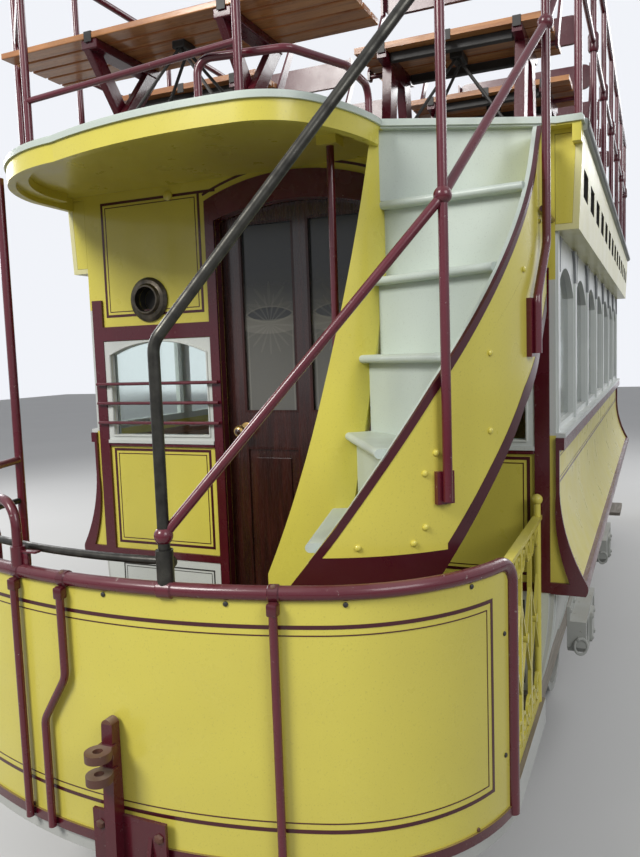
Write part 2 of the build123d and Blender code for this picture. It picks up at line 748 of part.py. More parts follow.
def door():
    """A sliding door leaf with two tall lights over two panels."""
    x1 = BODY_HALF_L - BULKHEAD_T - DOOR_GAP
    x0 = x1 - DOOR_T
    leaf = prism_x(window_shape(2 * DOOR_HALF, FLOOR_TOP + 6, DOOR_SPRING, DOOR_RISE), x0, x1)
    for y0, y1 in DOOR_LIGHTS:
        leaf -= block(x0, x1, y0, y1, *DOOR_LIGHT_ZS)
        leaf -= block(x1 - 7, x1, y0, y1, *DOOR_PANEL_ZS)
        leaf -= block(x0, x0 + 7, y0, y1, *DOOR_PANEL_ZS)
    leaf += rod((x1, KNOB_Y, KNOB_Z), (x1 + 60, KNOB_Y, KNOB_Z), 9)
    return leaf + ball((x1 + 62, KNOB_Y, KNOB_Z), 21)


def door_glass():
    """The two lights of a door leaf."""
    x = BODY_HALF_L - BULKHEAD_T - DOOR_GAP - DOOR_T / 2
    return solids_of([block(x - 2.5, x + 2.5, y0, y1, *DOOR_LIGHT_ZS) for y0, y1 in DOOR_LIGHTS])


def ceiling():
    """The cambered ceiling boards of the saloon."""
    half, low, rise, t = INNER_Y, CEILING_SIDE_Z, CEILING_RISE, 10
    edges = [ThreePointArc((-half, low), (0, low + rise), (half, low)), Line((half, low), (half, low + t)),
             ThreePointArc((half, low + t), (0, low + rise + t - 4), (-half, low + t)),
             Line((-half, low + t), (-half, low))]
    x1 = BODY_HALF_L - BULKHEAD_T
    return prism_x(make_face(edges), -x1, x1)


def bench():
    """The +Y longitudinal bench: seat, front board and back."""
    front = block(-BENCH_HALF_L, BENCH_HALF_L, 540, 560, FLOOR_TOP, 1040)
    seat = block(-BENCH_HALF_L, BENCH_HALF_L, 520, 925, 1040, 1064)
    back = block(-BENCH_HALF_L, BENCH_HALF_L, 905, 925, 1064, 1480)
    return front + seat + back


# Upper deck

def deck():
    """The upper deck over the saloon, with a rounded cornice along both sides."""
    z0, z1, r = DECK_TOP - DECK_T, DECK_TOP, DECK_T / 2
    half = DECK_HALF_W - r
    edges = [Line((-half, z0), (half, z0)), ThreePointArc((half, z0), (half + r, z0 + r), (half, z1)),
             Line((half, z1), (-half, z1)), ThreePointArc((-half, z1), (-half - r, z0 + r), (-half, z0))]
    return prism_x(make_face(edges), -BODY_HALF_L, BODY_HALF_L)


def canopy_arcs():
    """The arcs of the canopy's free edge, from the entrance side round to the stair's landing."""
    return [
        ThreePointArc((2420, -CANOPY_HALF_W + 14), (2748, -850), (2885, -515)),
        ThreePointArc((2885, -515), (2966, -100), (2962, 180)),
        ThreePointArc((2962, 180), (2905, 332), (2790, 410)),
        ThreePointArc((2790, 410), (2660, 456), LANDING_IN),
    ]


def canopy_outline():
    """The plan of the canopy, cut back along the landing's edge."""
    arcs = canopy_arcs()
    edges = [
        Line((BODY_HALF_L, -CANOPY_HALF_W), arcs[0] @ 0),
        *arcs,
        Polyline(LANDING_IN, LANDING_OUT, (LANDING_OUT[0], CANOPY_HALF_W), (BODY_HALF_L, CANOPY_HALF_W),
                 (BODY_HALF_L, -CANOPY_HALF_W)),
    ]
    return make_face(edges)


def canopy():
    """The deck over the platform: thin boards with a fascia and a stepped moulding under their edge."""
    outline = canopy_outline()
    inner = offset(outline, -FASCIA_T)
    under = DECK_TOP - CANOPY_T
    boards = prism_z(outline, under, FASCIA_TOP) + prism_z(inner, FASCIA_TOP, DECK_TOP)
    step = outline - offset(outline, -FASCIA_T - STEP_W)
    edge = prism_z(outline - inner, FASCIA_LOW, under) + prism_z(step, under - STEP_T, under)
    edge -= block(BODY_HALF_L, BODY_HALF_L + 90, FASCIA_T - CANOPY_HALF_W, CANOPY_HALF_W, FASCIA_LOW, under)
    edge -= block(BODY_HALF_L, FASCIA_END_X, 420, CANOPY_HALF_W, FASCIA_LOW, under)
    edge -= landing_frame() * block(-8, 60, -10, 80, FASCIA_LOW, under)
    edge -= prism_z(sector(STAIR_IN - STRING_T - 1, STAIR_IN + 1, 40, TOP_ANGLE), FASCIA_LOW, under)
    corner = block(BODY_HALF_L, LANDING_OUT[0], CANOPY_HALF_W - FASCIA_T, CANOPY_HALF_W, FASCIA_LOW, under)
    x, y = NEWEL
    socket = block(x - 34, x + 34, y - 34, y + 34, under - 28, under) - newel_post(POST_R + FIT)
    return boards + edge + corner + socket


def canopy_rim():
    """The rounded edge strip laid round the canopy, which is also the landing's nosing."""
    outline = canopy_outline()
    inner = offset(outline, -FASCIA_T)
    strip = prism_z(offset(outline, RIM_OUT) - inner, FASCIA_TOP, RIM_TOP - 6)
    strip += prism_z(offset(outline, RIM_OUT - 4) - inner, RIM_TOP - 6, RIM_TOP)
    strip -= block(BODY_HALF_L - 20, BODY_HALF_L, -1200, 1200, FASCIA_TOP, RIM_TOP)
    back = CANOPY_HALF_W - FASCIA_T
    return strip - block(BODY_HALF_L, BODY_HALF_L + FASCIA_T, -back, back, FASCIA_TOP, RIM_TOP)


# Stair

def stair_point(r, angle, z=0):
    """A point of the stair's plan."""
    return (STAIR_X + r * cos(radians(angle)), STAIR_Y + r * sin(radians(angle)), z)


def sector(r0, r1, a0, a1):
    """A ring sector of the stair's plan."""
    mid = (a0 + a1) / 2
    edges = [ThreePointArc(stair_point(r1, a0), stair_point(r1, mid), stair_point(r1, a1)),
             Line(stair_point(r1, a1), stair_point(r0, a1)),
             ThreePointArc(stair_point(r0, a1), stair_point(r0, mid), stair_point(r0, a0)),
             Line(stair_point(r0, a0), stair_point(r1, a0))]
    return make_face(edges)


def landing_frame():
    """Local frame of the landing's edge: X along it from the newel outwards, Y back under the deck."""
    x, y = LANDING_IN
    turn = degrees(atan2(LANDING_OUT[1] - y, LANDING_OUT[0] - x))
    return Pos(x, y, 0) * Rot(0, 0, turn)


def stair_well():
    """The space between the two strings that the treads fill."""
    x = STAIR_X + STAIR_IN
    space = Pos(STAIR_X, STAIR_Y, 0) * Cylinder(STAIR_OUT, 6000)
    space += block(BODY_HALF_L, STAIR_X, STAIR_Y, STAIR_Y + STAIR_OUT, -3000, 3000)
    space -= Pos(STAIR_X, STAIR_Y, 0) * Cylinder(STAIR_IN, 6100)
    return space - block(x - 900, x, STAIR_Y - 900, STAIR_Y, -3100, 3100)


def stair_steps():
    """Seven winding treads with round nosings and the risers between them, up to the landing."""
    landing = landing_frame()
    start, reach = STAIR_IN - 20, STAIR_OUT + 200
    under = DECK_TOP - CANOPY_T
    parts = [landing * block(-4, reach, NOSING, NOSING + RISER_T, DECK_TOP - RISE, under)]
    for k in range(1, TREADS + 1):
        angle = TOP_ANGLE - STEP_ANGLE * k
        top = DECK_TOP - RISE * k
        low = top - TREAD_T
        middle = (low + top) / 2
        turn = Pos(STAIR_X, STAIR_Y, 0) * Rot(0, 0, angle)
        parts.append(turn * block(start, reach, NOSING, NOSING + RISER_T, top - RISE, low))
        parts.append(turn * rod((start, 0, middle), (reach, 0, middle), TREAD_T / 2))
        if k == 1:
            corner = stair_point(900, angle)[:2]
            face = polygon([(STAIR_X, STAIR_Y), corner, (BODY_HALF_L, 1180), (BODY_HALF_L, STAIR_Y)])
            behind = landing * block(-900, 900, NOSING + RISER_T, 900, low - 5, top + 5)
            parts.append(prism_z(face, low, top) - behind)
        else:
            parts.append(prism_z(sector(start, reach, angle, angle + STEP_ANGLE), low, top))
            lap = Pos(STAIR_X, STAIR_Y, 0) * Rot(0, 0, angle + STEP_ANGLE)
            parts.append(lap * block(start, reach, -1, NOSING + RISER_T, low, top))
    return joined(parts) & stair_well()


def nosing_z(angle):
    """Height of the line through the nosings at an angle of the stair."""
    return DECK_TOP - RISE * (TOP_ANGLE - angle) / STEP_ANGLE


def string_edges(angle):
    """Heights of the outer string's lower and upper edge at an angle of the stair."""
    top = nosing_z(angle) - STRING_DROP - 3.4 * max(0, angle - 36)
    low = nosing_z(angle) - STRING_DEPTH - 4.8 * max(0, angle - 73)
    return low, top


def outer_string():
    """The deep outer string board: a helical blade trimmed to the stair's round plan and its straight end."""
    outer = STAIR_OUT + STRING_T
    stations = [(angle, angle, STAIR_X) for angle in STRING_ANGLES]
    stations += [(90, 90 + degrees((STAIR_X - x) / outer), x) for x in STRAIGHT_XS]
    sections = []
    for turn, angle, x in stations:
        low, top = string_edges(angle)
        across, up = cos(radians(turn)), sin(radians(turn))
        plane = Plane(origin=(x, STAIR_Y, 0), x_dir=(across, up, 0), z_dir=(up, -across, 0))
        sections.append(plane * polygon([(600, low), (700, low), (700, top), (600, top)]))
    plan = sector(STAIR_OUT, outer, STRING_ANGLES[0], 90)
    walls = prism_z(plan, PLATFORM_Z, DECK_TOP)
    walls += block(STRAIGHT_XS[-1], STAIR_X, STAIR_Y + STAIR_OUT, STAIR_Y + outer, PLATFORM_Z, DECK_TOP)
    return loft(sections) & walls


def inner_string():
    """The steep inner string board: a quarter round with a straight foot, cut to a sweep in elevation."""
    x = STAIR_X + STAIR_IN
    foot = INNER_FOOT_Y
    under = DECK_TOP - CANOPY_T
    plan = prism_z(sector(STAIR_IN - STRING_T, STAIR_IN, 0, TOP_ANGLE), PLATFORM_Z, under)
    plan += block(x - STRING_T, x, foot, STAIR_Y, PLATFORM_Z, under)
    edges = [
        ThreePointArc((foot, 1080), (318, 1745), (451, 2490)),
        Polyline((451, 2490), (452, under), (480, under), (480, 2200)),
        ThreePointArc((480, 2200), (405, 1440), (230, PLATFORM_Z)),
        Polyline((230, PLATFORM_Z), (foot, PLATFORM_Z), (foot, 1080)),
    ]
    return plan & prism_x(make_face(edges), STAIR_X - 200, x)


def rail_foot():
    """Where the top rail's foot stands on the dash rail."""
    return (FRONT_X - 14, 170)


def top_rail_run(radius):
    """The stair's top rail from the dash up to the deck rail."""
    x, y = rail_foot()
    low = stair_point(POST_OUT, LOW_POST_ANGLE, LOW_POST_Z)
    high = stair_point(POST_OUT, HIGH_POST_ANGLE, HIGH_POST_Z)
    points = [(x, y, RAIL_Z), (x, y, 1860), low, high, (BODY_HALF_L + 60, SIDE_RAIL_Y, RAIL_TOP_Z),
              (SIDE_RAIL_END, SIDE_RAIL_Y, RAIL_TOP_Z)]
    return tube(points, (70, 70, 70, 50), radius)


def stair_top_rail():
    """The dark top rail with its foot sleeve, and the hand bar from the sleeve round to the entrance."""
    x, y = rail_foot()
    turn = degrees(asin(y / FRONT_R))
    rail = top_rail_run(TOP_RAIL_R)
    rail += rod((x, y, RAIL_Z), (x, y, RAIL_Z + 100), TOP_RAIL_R + 7)
    rail += pipe(plan_arcs(HAND_BAR_END, turn, HAND_BAR_INSET, HAND_BAR_Z), HAND_BAR_R)
    rail += rod((x, y, HAND_BAR_Z), plan_point(turn, HAND_BAR_INSET, HAND_BAR_Z), HAND_BAR_R + 4)
    pole = rod((*ENTRANCE_POLE, PLATFORM_Z), (*ENTRANCE_POLE, DECK_TOP), ENTRANCE_POLE_R + FIT)
    cut = rail - pole - dash_tube(RAIL_R + FIT)
    return cut.solids().sort_by(SortBy.VOLUME)[-1]


def stair_rails():
    """The middle rail and the two posts that carry the rails on the outer string."""
    x, y = rail_foot()
    low, high = stair_point(POST_OUT, LOW_POST_ANGLE), stair_point(POST_OUT, HIGH_POST_ANGLE)
    low_mid, high_mid = (low[0], low[1], 2210), (high[0], high[1], 2770)
    rails = tube([(x, y, 1385), low_mid, high_mid, (BODY_HALF_L + 60, SIDE_RAIL_Y, RAIL_MID_Z),
                  (SIDE_RAIL_END, SIDE_RAIL_Y, RAIL_MID_Z)], (160, 160, 50), POST_R)
    plate = stair_point(POST_OUT, HIGH_PLATE_ANGLE)
    rails += rod((low[0], low[1], 1420), (low[0], low[1], LOW_POST_Z), POST_R)
    bend = [(plate[0], plate[1], 1800), (plate[0], plate[1], 1960), (high[0], high[1], 2130),
            (high[0], high[1], HIGH_POST_Z)]
    rails += tube(bend, 60, POST_R)
    face = STAIR_OUT + STRING_T
    for angle, z0, z1 in ((LOW_POST_ANGLE, 1412, 1500), (HIGH_PLATE_ANGLE, 1790, 1960)):
        rails += prism_z(sector(face, POST_OUT - POST_R + 5, angle - 2.2, angle + 2.2), z0, z1)
    tops = [(low[0], low[1], LOW_POST_Z), (high[0], high[1], HIGH_POST_Z)]
    for point in (low_mid, high_mid, *tops, (x, y, 1385)):
        rails += ball(point, BALL_R)
    stay_y = BODY_HALF_W - 9
    rails += rod((high[0], stay_y, BODY_STAY_Z), (BODY_HALF_L, stay_y, BODY_STAY_Z), 9)
    return (rails - top_rail_run(TOP_RAIL_R + FIT)).solids().sort_by(SortBy.VOLUME)[-1]


def newel_post(radius):
    """The round post up the middle of the stair."""
    x, y = NEWEL
    return rod((x, y, PLATFORM_Z), (x, y, DECK_TOP - CANOPY_T), radius)


def canopy_posts():
    """The newel post and the entrance pole, both from the platform up to the canopy."""
    x, y = ENTRANCE_POLE
    pole = rod((x, y, PLATFORM_Z), (x, y, DECK_TOP - CANOPY_T - STEP_T), ENTRANCE_POLE_R)
    return solids_of([newel_post(POST_R), pole])


# Rails and seats of the upper deck

def side_rail():
    """The rails and stanchions along the +Y side of the deck."""
    end, y = SIDE_RAIL_END, SIDE_RAIL_Y
    rail = rod((-end, y, RAIL_TOP_Z), (end, y, RAIL_TOP_Z), TOP_RAIL_R)
    rail += rod((-end, y, RAIL_MID_Z), (end, y, RAIL_MID_Z), POST_R - 3)
    for i in range(SIDE_POSTS):
        x = SIDE_POST_PITCH * (i - (SIDE_POSTS - 1) / 2)
        rail += rod((x, y, DECK_TOP), (x, y, RAIL_TOP_Z), POST_R)
    return rail


def rim_point(arc, share):
    """A point on the middle of the canopy's edge strip, a share of the way along one of its arcs."""
    point, along = arc @ share, arc % share
    return (point.X - along.Y * FASCIA_T / 2, point.Y + along.X * FASCIA_T / 2)


def canopy_rail():
    """The rails round the front of the canopy."""
    arcs = canopy_arcs()
    feet = [rim_point(arcs[0], 0.1), rim_point(arcs[0], 0.82), rim_point(arcs[2], 0.12)]
    ends = [(SIDE_RAIL_END, -SIDE_RAIL_Y), (SIDE_RAIL_END + 60, -SIDE_RAIL_Y), *feet]
    rail = tube([(x, y, RAIL_TOP_Z) for x, y in ends], 120, TOP_RAIL_R)
    rail += tube([(x, y, RAIL_MID_Z) for x, y in ends], 120, POST_R - 3)
    rail += rod((*feet[1], RAIL_LOW_Z), (*feet[2], RAIL_LOW_Z), POST_R - 3)
    for x, y in feet:
        rail += rod((x, y, RIM_TOP), (x, y, RAIL_TOP_Z), POST_R)
    return rail


def stair_hoop():
    """The low hoop beside the stair opening."""
    z = DECK_TOP + 130
    points = [(2910, 60, DECK_TOP), (2910, 60, z), (2862, 330, z), (2650, 425, z), (2450, 420, z),
              (2450, 420, DECK_TOP)]
    return tube(points, 45, POST_R - 1)


def seat_xs():
    """Middles of the deck seats along the car."""
    return [(i - (SEAT_ROWS - 1) / 2) * SEAT_PITCH + 60 for i in range(SEAT_ROWS)]


def seat():
    """A slatted seat for two on splayed legs, at x = 0 on the +Y side."""
    z = DECK_TOP + SEAT_H
    y0, y1 = AISLE_HALF, AISLE_HALF + SEAT_W
    pitch = (SEAT_D + SLAT_GAP) / SLATS
    body = []
    for i in range(SLATS):
        x = pitch * i - SEAT_D / 2
        body.append(block(x, x + pitch - SLAT_GAP, y0, y1, z - 22, z))
    leg = polygon([(-170, DECK_TOP), (-105, DECK_TOP), (-45, z - 95), (45, z - 95), (105, DECK_TOP),
                   (170, DECK_TOP), (125, z - 60), (190, z - 50), (190, z - 22), (-190, z - 22),
                   (-190, z - 50), (-125, z - 60)])
    for y in (y0 + 90, y1 - 126):
        body.append(prism_y(leg, y, y + 36))
    return joined(body)


def seat_back():
    """The seat's back board on two arms that pivot on rods from its legs."""
    z = DECK_TOP + SEAT_H
    y0, y1 = AISLE_HALF - 2, AISLE_HALF + SEAT_W + 2
    arm = polygon([(-16, z - 62), (16, z - 62), (16, z - 30), (-178, z + 262), (-178, z + 392),
                   (-214, z + 392), (-214, z + 262)])
    board = block(-236, -214, y0 - ARM_T, y1 + ARM_T, z + 270, z + 400)
    parts = [fillet(board.edges().filter_by(Axis.X), 45)]
    for arm_y, leg_y in ((y0 - ARM_T, AISLE_HALF + 90), (y1, AISLE_HALF + SEAT_W - 90)):
        parts.append(prism_y(arm, arm_y, arm_y + ARM_T))
        parts.append(rod((0, arm_y + ARM_T / 2, z - 46), (0, leg_y, z - 46), 9))
    return joined(parts)


def seats():
    """The row of seats on the +Y side of the deck."""
    one = seat()
    return solids_of([Pos(x, 0, 0) * one for x in seat_xs()])


def seat_backs():
    """The row of seat backs on the +Y side of the deck."""
    one = seat_back()
    return solids_of([Pos(x, 0, 0) * one for x in seat_xs()])


WHOLE = {
    "underframe": underframe,
    "saloon_floor": saloon_floor,
    "axle_guards": axle_guards,
    "axle_springs": springs,
    "saloon_glass": saloon_glass,
    "ceiling": ceiling,
    "upper_deck": deck,
}
PAIRED_ENDS = {
    "brake_gear": brake_gear,
    "entry_steps": entry_step,
    "dash_stays": dash_stays,
    "couplings": coupling,
    "gates": gate,
    "bulkhead_frames": bulkhead_frame,
    "end_white_panels": end_white_panels,
    "lamp_bells": lamp_bell,
    "guard_bars": guard_bars,
    "canopy_rims": canopy_rim,
    "canopy_posts": canopy_posts,
    "inner_strings": inner_string,
    "stair_top_rails": stair_top_rail,
    "canopy_rails": canopy_rail,
    "stair_hoops": stair_hoop,
}
PAIRED_SIDES = {
    "rocker_panels": rocker_panel,
    "side_mouldings": side_mouldings,
    "letterboards": letterboard,
    "benches": bench,
    "seat_backs": seat_backs,
}
ENDS = {
    "platform": platform,
    "dash": dash,
    "dash_rail": dash_rail,
    "bulkhead": bulkhead,
    "door": door,
    "door_glass": door_glass,
    "canopy": canopy,
    "stair_steps": stair_steps,
    "outer_string": outer_string,
    "stair_rails": stair_rails,
}
SIDES = {
    "side_panel": side_panel,
    "side_windows": side_windows,
    "deck_rail": side_rail,
    "seats": seats,
}


def main():
    """Builds and writes every piece."""
    os.makedirs("parts", exist_ok=True)
    for name, make in WHOLE.items():
        save(make(), name)
    for name, make in PAIRED_ENDS.items():
        save(both_ends(make()), name)
    for name, make in PAIRED_SIDES.items():
        save(both_sides(make()), name)
    for name, make in ENDS.items():
        piece = make()
        save(piece, f"{name}_a")
        save(at_b(piece), f"{name}_b")
    for name, make in SIDES.items():
        piece = make()
        save(piece, f"{name}_right")
        save(other_side(piece), f"{name}_left")
    for name, x in (("a", AXLE_XS[1]), ("b", AXLE_XS[0])):
        save(Pos(x, 0, AXLE_Z) * axle(), f"axle_{name}")
        save(solids_of([Pos(x, 0, AXLE_Z) * wheel(side) for side in (-1, 1)]), f"wheels_{name}")


main()
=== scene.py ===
# %% [markdown]
# # A double-deck horse tramcar
#
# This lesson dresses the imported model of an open-top horse tramcar: old gloss paint with its lining, iron
# rails, varnished slats, dark mahogany doors and etched glass. The solids arrive from the CAD model and are
# never moved. Each step says what the piece is on the real car and why it is made the way that it is.
#
# Everything is in metres, X along the car, Z up. The A end is at +X, and its stair is on the +Y side. The B
# end is the A end turned half a turn, so most pieces are made once at the A end and copied round.

# %% Load the frame
import json
import math

import bpy
from mathutils import Matrix, Vector

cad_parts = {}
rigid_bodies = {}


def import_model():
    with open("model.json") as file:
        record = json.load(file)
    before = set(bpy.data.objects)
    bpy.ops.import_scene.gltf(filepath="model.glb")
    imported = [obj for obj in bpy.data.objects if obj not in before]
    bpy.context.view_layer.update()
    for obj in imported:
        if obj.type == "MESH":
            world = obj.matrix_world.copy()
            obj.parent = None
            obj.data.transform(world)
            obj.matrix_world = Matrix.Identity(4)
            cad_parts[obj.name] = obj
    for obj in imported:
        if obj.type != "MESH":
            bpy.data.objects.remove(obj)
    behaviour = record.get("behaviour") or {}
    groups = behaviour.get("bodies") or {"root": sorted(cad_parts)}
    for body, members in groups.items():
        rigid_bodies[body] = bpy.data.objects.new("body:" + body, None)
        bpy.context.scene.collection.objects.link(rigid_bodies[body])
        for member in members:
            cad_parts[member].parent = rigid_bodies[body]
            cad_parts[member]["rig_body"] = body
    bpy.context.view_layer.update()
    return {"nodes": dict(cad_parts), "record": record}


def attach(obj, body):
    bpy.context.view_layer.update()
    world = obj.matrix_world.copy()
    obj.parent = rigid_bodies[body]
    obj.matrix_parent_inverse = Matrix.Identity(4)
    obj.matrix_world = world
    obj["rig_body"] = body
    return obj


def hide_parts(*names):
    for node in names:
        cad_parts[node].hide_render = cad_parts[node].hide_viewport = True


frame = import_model()
print("CAD nodes:", len(frame["nodes"]))

# %% [markdown]
# ## The camera
#
# The picture was taken from close to the dash, a little right of the coupling, with the lens tipped slightly
# down and turned to the left. The place and turns were solved from edges whose direction is known, so the
# camera is set from three unit vectors: where it looks, its right and its up.

# %% Camera
PICTURE = (640, 857)
FOCAL_PIXELS = 766.0
EYE = Vector((4.897, 1.281, 1.819))
YAW, PITCH, ROLL = 0.4133, 0.09686, -0.03426

ahead = Vector((-math.cos(YAW) * math.cos(PITCH), -math.sin(YAW) * math.cos(PITCH), -math.sin(PITCH)))
level = Vector((-math.sin(YAW), math.cos(YAW), 0))
upward = level.cross(ahead)
right = level * math.cos(ROLL) + upward * math.sin(ROLL)
top = -level * math.sin(ROLL) + upward * math.cos(ROLL)

lens = bpy.data.cameras.new("camera")
lens.sensor_fit = "AUTO"
lens.sensor_width = 36
lens.lens = FOCAL_PIXELS / max(PICTURE) * lens.sensor_width
lens.clip_start = 0.05
camera = bpy.data.objects.new("camera", lens)
bpy.context.scene.collection.objects.link(camera)
camera.matrix_world = Matrix((
    (right.x, top.x, -ahead.x, EYE.x),
    (right.y, top.y, -ahead.y, EYE.y),
    (right.z, top.z, -ahead.z, EYE.z),
    (0, 0, 0, 1),
))
bpy.context.scene.camera = camera
bpy.context.scene.view_settings.view_transform = "Standard"
print("lens", round(lens.lens, 2), "mm")

# %% [markdown]
# ## Helpers for building a finish
#
# A finish is a small tree of nodes. One helper adds a node, sets its values and plugs its links, so that a
# tree reads from top to bottom like a recipe. The others are the three nodes that the finishes use most: a
# mix of two colours, a range spread over another, and a sum.

# %% Node helpers
def node(tree, kind, links=None, **settings):
    """Adds one node, sets it up and plugs or sets its inputs."""
    made = tree.nodes.new(kind)
    for key, value in settings.items():
        setattr(made, key, value)
    for key, value in (links or {}).items():
        if isinstance(value, bpy.types.NodeSocket):
            tree.links.new(value, made.inputs[key])
        else:
            made.inputs[key].default_value = value
    return made


def mixed(tree, amount, first, second, blend="MIX"):
    """The colour between two colours, by an amount from 0 to 1."""
    made = node(tree, "ShaderNodeMix", {0: amount, 6: first, 7: second}, data_type="RGBA", blend_type=blend)
    return made.outputs[2]


def between(tree, value, low, high, out_low=0.0, out_high=1.0):
    """A value spread from one range over another, held at its ends."""
    made = node(tree, "ShaderNodeMapRange", {0: value, 1: low, 2: high, 3: out_low, 4: out_high})
    return made.outputs[0]


def maths(tree, operation, first, second=0.0):
    """One sum."""
    return node(tree, "ShaderNodeMath", {0: first, 1: second}, operation=operation).outputs[0]


def noise(tree, place, scale, detail, **more):
    """A cloudy pattern of values."""
    inputs = {"Vector": place, "Scale": scale, "Detail": detail, **more}
    return node(tree, "ShaderNodeTexNoise", inputs).outputs["Fac"]


def new_group(name, inputs, outputs):
    """An empty shader group with its sockets, each given as (name, kind, value)."""
    tree = bpy.data.node_groups.new(name, "ShaderNodeTree")
    for title, kind, value in inputs:
        socket = tree.interface.new_socket(title, in_out="INPUT", socket_type=kind)
        socket.default_value = value
    for title, kind in outputs:
        tree.interface.new_socket(title, in_out="OUTPUT", socket_type=kind)
    return tree, tree.nodes.new("NodeGroupInput"), tree.nodes.new("NodeGroupOutput")


def hand_out(tree, outside, **results):
    """Plugs a group's results into its outputs."""
    for title, result in results.items():
        tree.links.new(result, outside.inputs[title])


FLOAT, COLOUR, VECTOR = "NodeSocketFloat", "NodeSocketColor", "NodeSocketVector"
print("node helpers ready for", bpy.app.version_string)

# %% [markdown]
# ## Old brushed paint
#
# The car was painted by brush and varnished, then used. Up close such paint has faint vertical brush marks,
# a slow change of tone from board to board, fine specks, and dust that settles on whatever faces up. All the
# paints share this, so it is one group. It hands out a colour, a roughness and a height, and each paint keeps
# its own shader.

# %% Group: old paint
DUST_COLOUR, SPECK_COLOUR = (0.42, 0.39, 0.33, 1), (0.05, 0.04, 0.03, 1)
paint_group, inside, outside = new_group(
    "Old paint",
    [("Paint", COLOUR, (0.8, 0.8, 0.8, 1)), ("Faded", COLOUR, (0.9, 0.9, 0.9, 1)), ("Dust", FLOAT, 0.25),
     ("Gloss", FLOAT, 0.3), ("Chips", FLOAT, 0.0), ("Under", COLOUR, (0.2, 0.15, 0.1, 1))],
    [("Colour", COLOUR), ("Roughness", FLOAT), ("Height", FLOAT)],
)
given = inside.outputs
place = node(paint_group, "ShaderNodeTexCoord").outputs["Object"]
facing = node(paint_group, "ShaderNodeNewGeometry").outputs["Normal"]
slow = noise(paint_group, place, 2.3, 3.0)
specks = noise(paint_group, place, 210.0, 2.0)
streaked = node(paint_group, "ShaderNodeMapping", {"Vector": place, "Scale": (95.0, 95.0, 7.0)}).outputs[0]
strokes = noise(paint_group, streaked, 1.0, 3.0)
tone = mixed(paint_group, between(paint_group, slow, 0.32, 0.68), given["Paint"], given["Faded"])
speckled = mixed(paint_group, between(paint_group, specks, 0.6, 0.75, 0.0, 0.16), tone, SPECK_COLOUR)
upness = node(paint_group, "ShaderNodeSeparateXYZ", {0: facing}).outputs["Z"]
patches = noise(paint_group, place, 9.0, 5.0)
dust = maths(paint_group, "MULTIPLY", between(paint_group, upness, 0.35, 1.0),
             between(paint_group, patches, 0.3, 0.7))
dusty = mixed(paint_group, maths(paint_group, "MULTIPLY", dust, given["Dust"]), speckled, DUST_COLOUR)
broken = noise(paint_group, place, 46.0, 6.0, Roughness=0.7)
chip = maths(paint_group, "MULTIPLY", between(paint_group, broken, 0.66, 0.69), given["Chips"])
worn = mixed(paint_group, chip, dusty, given["Under"])
gloss = maths(paint_group, "ADD", given["Gloss"], between(paint_group, patches, 0.3, 0.8, -0.05, 0.14))
for wear, dulling in ((chip, 0.4), (dust, 0.2)):
    gloss = maths(paint_group, "ADD", gloss, maths(paint_group, "MULTIPLY", wear, dulling))
height = maths(paint_group, "SUBTRACT", maths(paint_group, "MULTIPLY", strokes, 0.5), chip)
hand_out(paint_group, outside, Colour=worn, Roughness=gloss, Height=height)
print("group", paint_group.name, "has", len(paint_group.nodes), "nodes")

# %% [markdown]
# ## From a group to a paint
#
# A paint is the group, a bump and one shader. The values that are the same all over go straight on the
# shader. Some CAD nodes are painted in two colours, such as the dash with its maroon foot. Their material
# holds two looks and a mask that reads the place on the piece.

# %% Looks and materials
def new_material(name):
    """An empty material, its tree and its shader."""
    material = bpy.data.materials.new(name)
    material.use_nodes = True
    tree = material.node_tree
    shader = tree.nodes["Principled BSDF"]
    return material, tree, shader


def axes(tree):
    """The X, Y and Z of a point of the piece."""
    place = node(tree, "ShaderNodeTexCoord").outputs["Object"]
    return node(tree, "ShaderNodeSeparateXYZ", {0: place}).outputs


def placed_group(tree, group, values):
    """Puts a group in a tree and sets its inputs."""
    made = tree.nodes.new("ShaderNodeGroup")
    made.node_tree = group
    for title, value in values.items():
        if isinstance(value, bpy.types.NodeSocket):
            tree.links.new(value, made.inputs[title])
        elif isinstance(value, tuple) and made.inputs[title].type == "RGBA":
            made.inputs[title].default_value = (*value, 1)
        else:
            made.inputs[title].default_value = value
    return made.outputs


def bumped(tree, shader, height, strength, distance):
    """Feeds a height to the shader's normal."""
    bump = node(tree, "ShaderNodeBump", {"Height": height, "Strength": strength, "Distance": distance})
    tree.links.new(bump.outputs["Normal"], shader.inputs["Normal"])


def painted(tree, look):
    """Adds old paint to a tree and returns its colour, roughness and height."""
    return placed_group(tree, paint_group, look)


def dressed(name, look, relief, distance, coat, flat_colour):
    """Makes a material from a look, which is a function that adds a colour, a roughness and a height."""
    material, tree, shader = new_material(name)
    colour, rough, height = look(tree)
    tree.links.new(colour, shader.inputs["Base Color"])
    tree.links.new(rough, shader.inputs["Roughness"])
    bumped(tree, shader, height, relief, distance)
    shader.inputs["Specular IOR Level"].default_value = 0.35
    shader.inputs["Coat Weight"].default_value = coat
    shader.inputs["Coat Roughness"].default_value = 0.12
    material.diffuse_color = (*flat_colour, 1)
    return material


def two_looks(tree, first, second, share):
    """The first look where the mask is nought and the second where it is one."""
    colour = mixed(tree, share, first[0], second[0])
    rough = between(tree, share, 0.0, 1.0, first[1], second[1])
    height = between(tree, share, 0.0, 1.0, first[2], second[2])
    return colour, rough, height


print("each look starts from the group", paint_group.name)

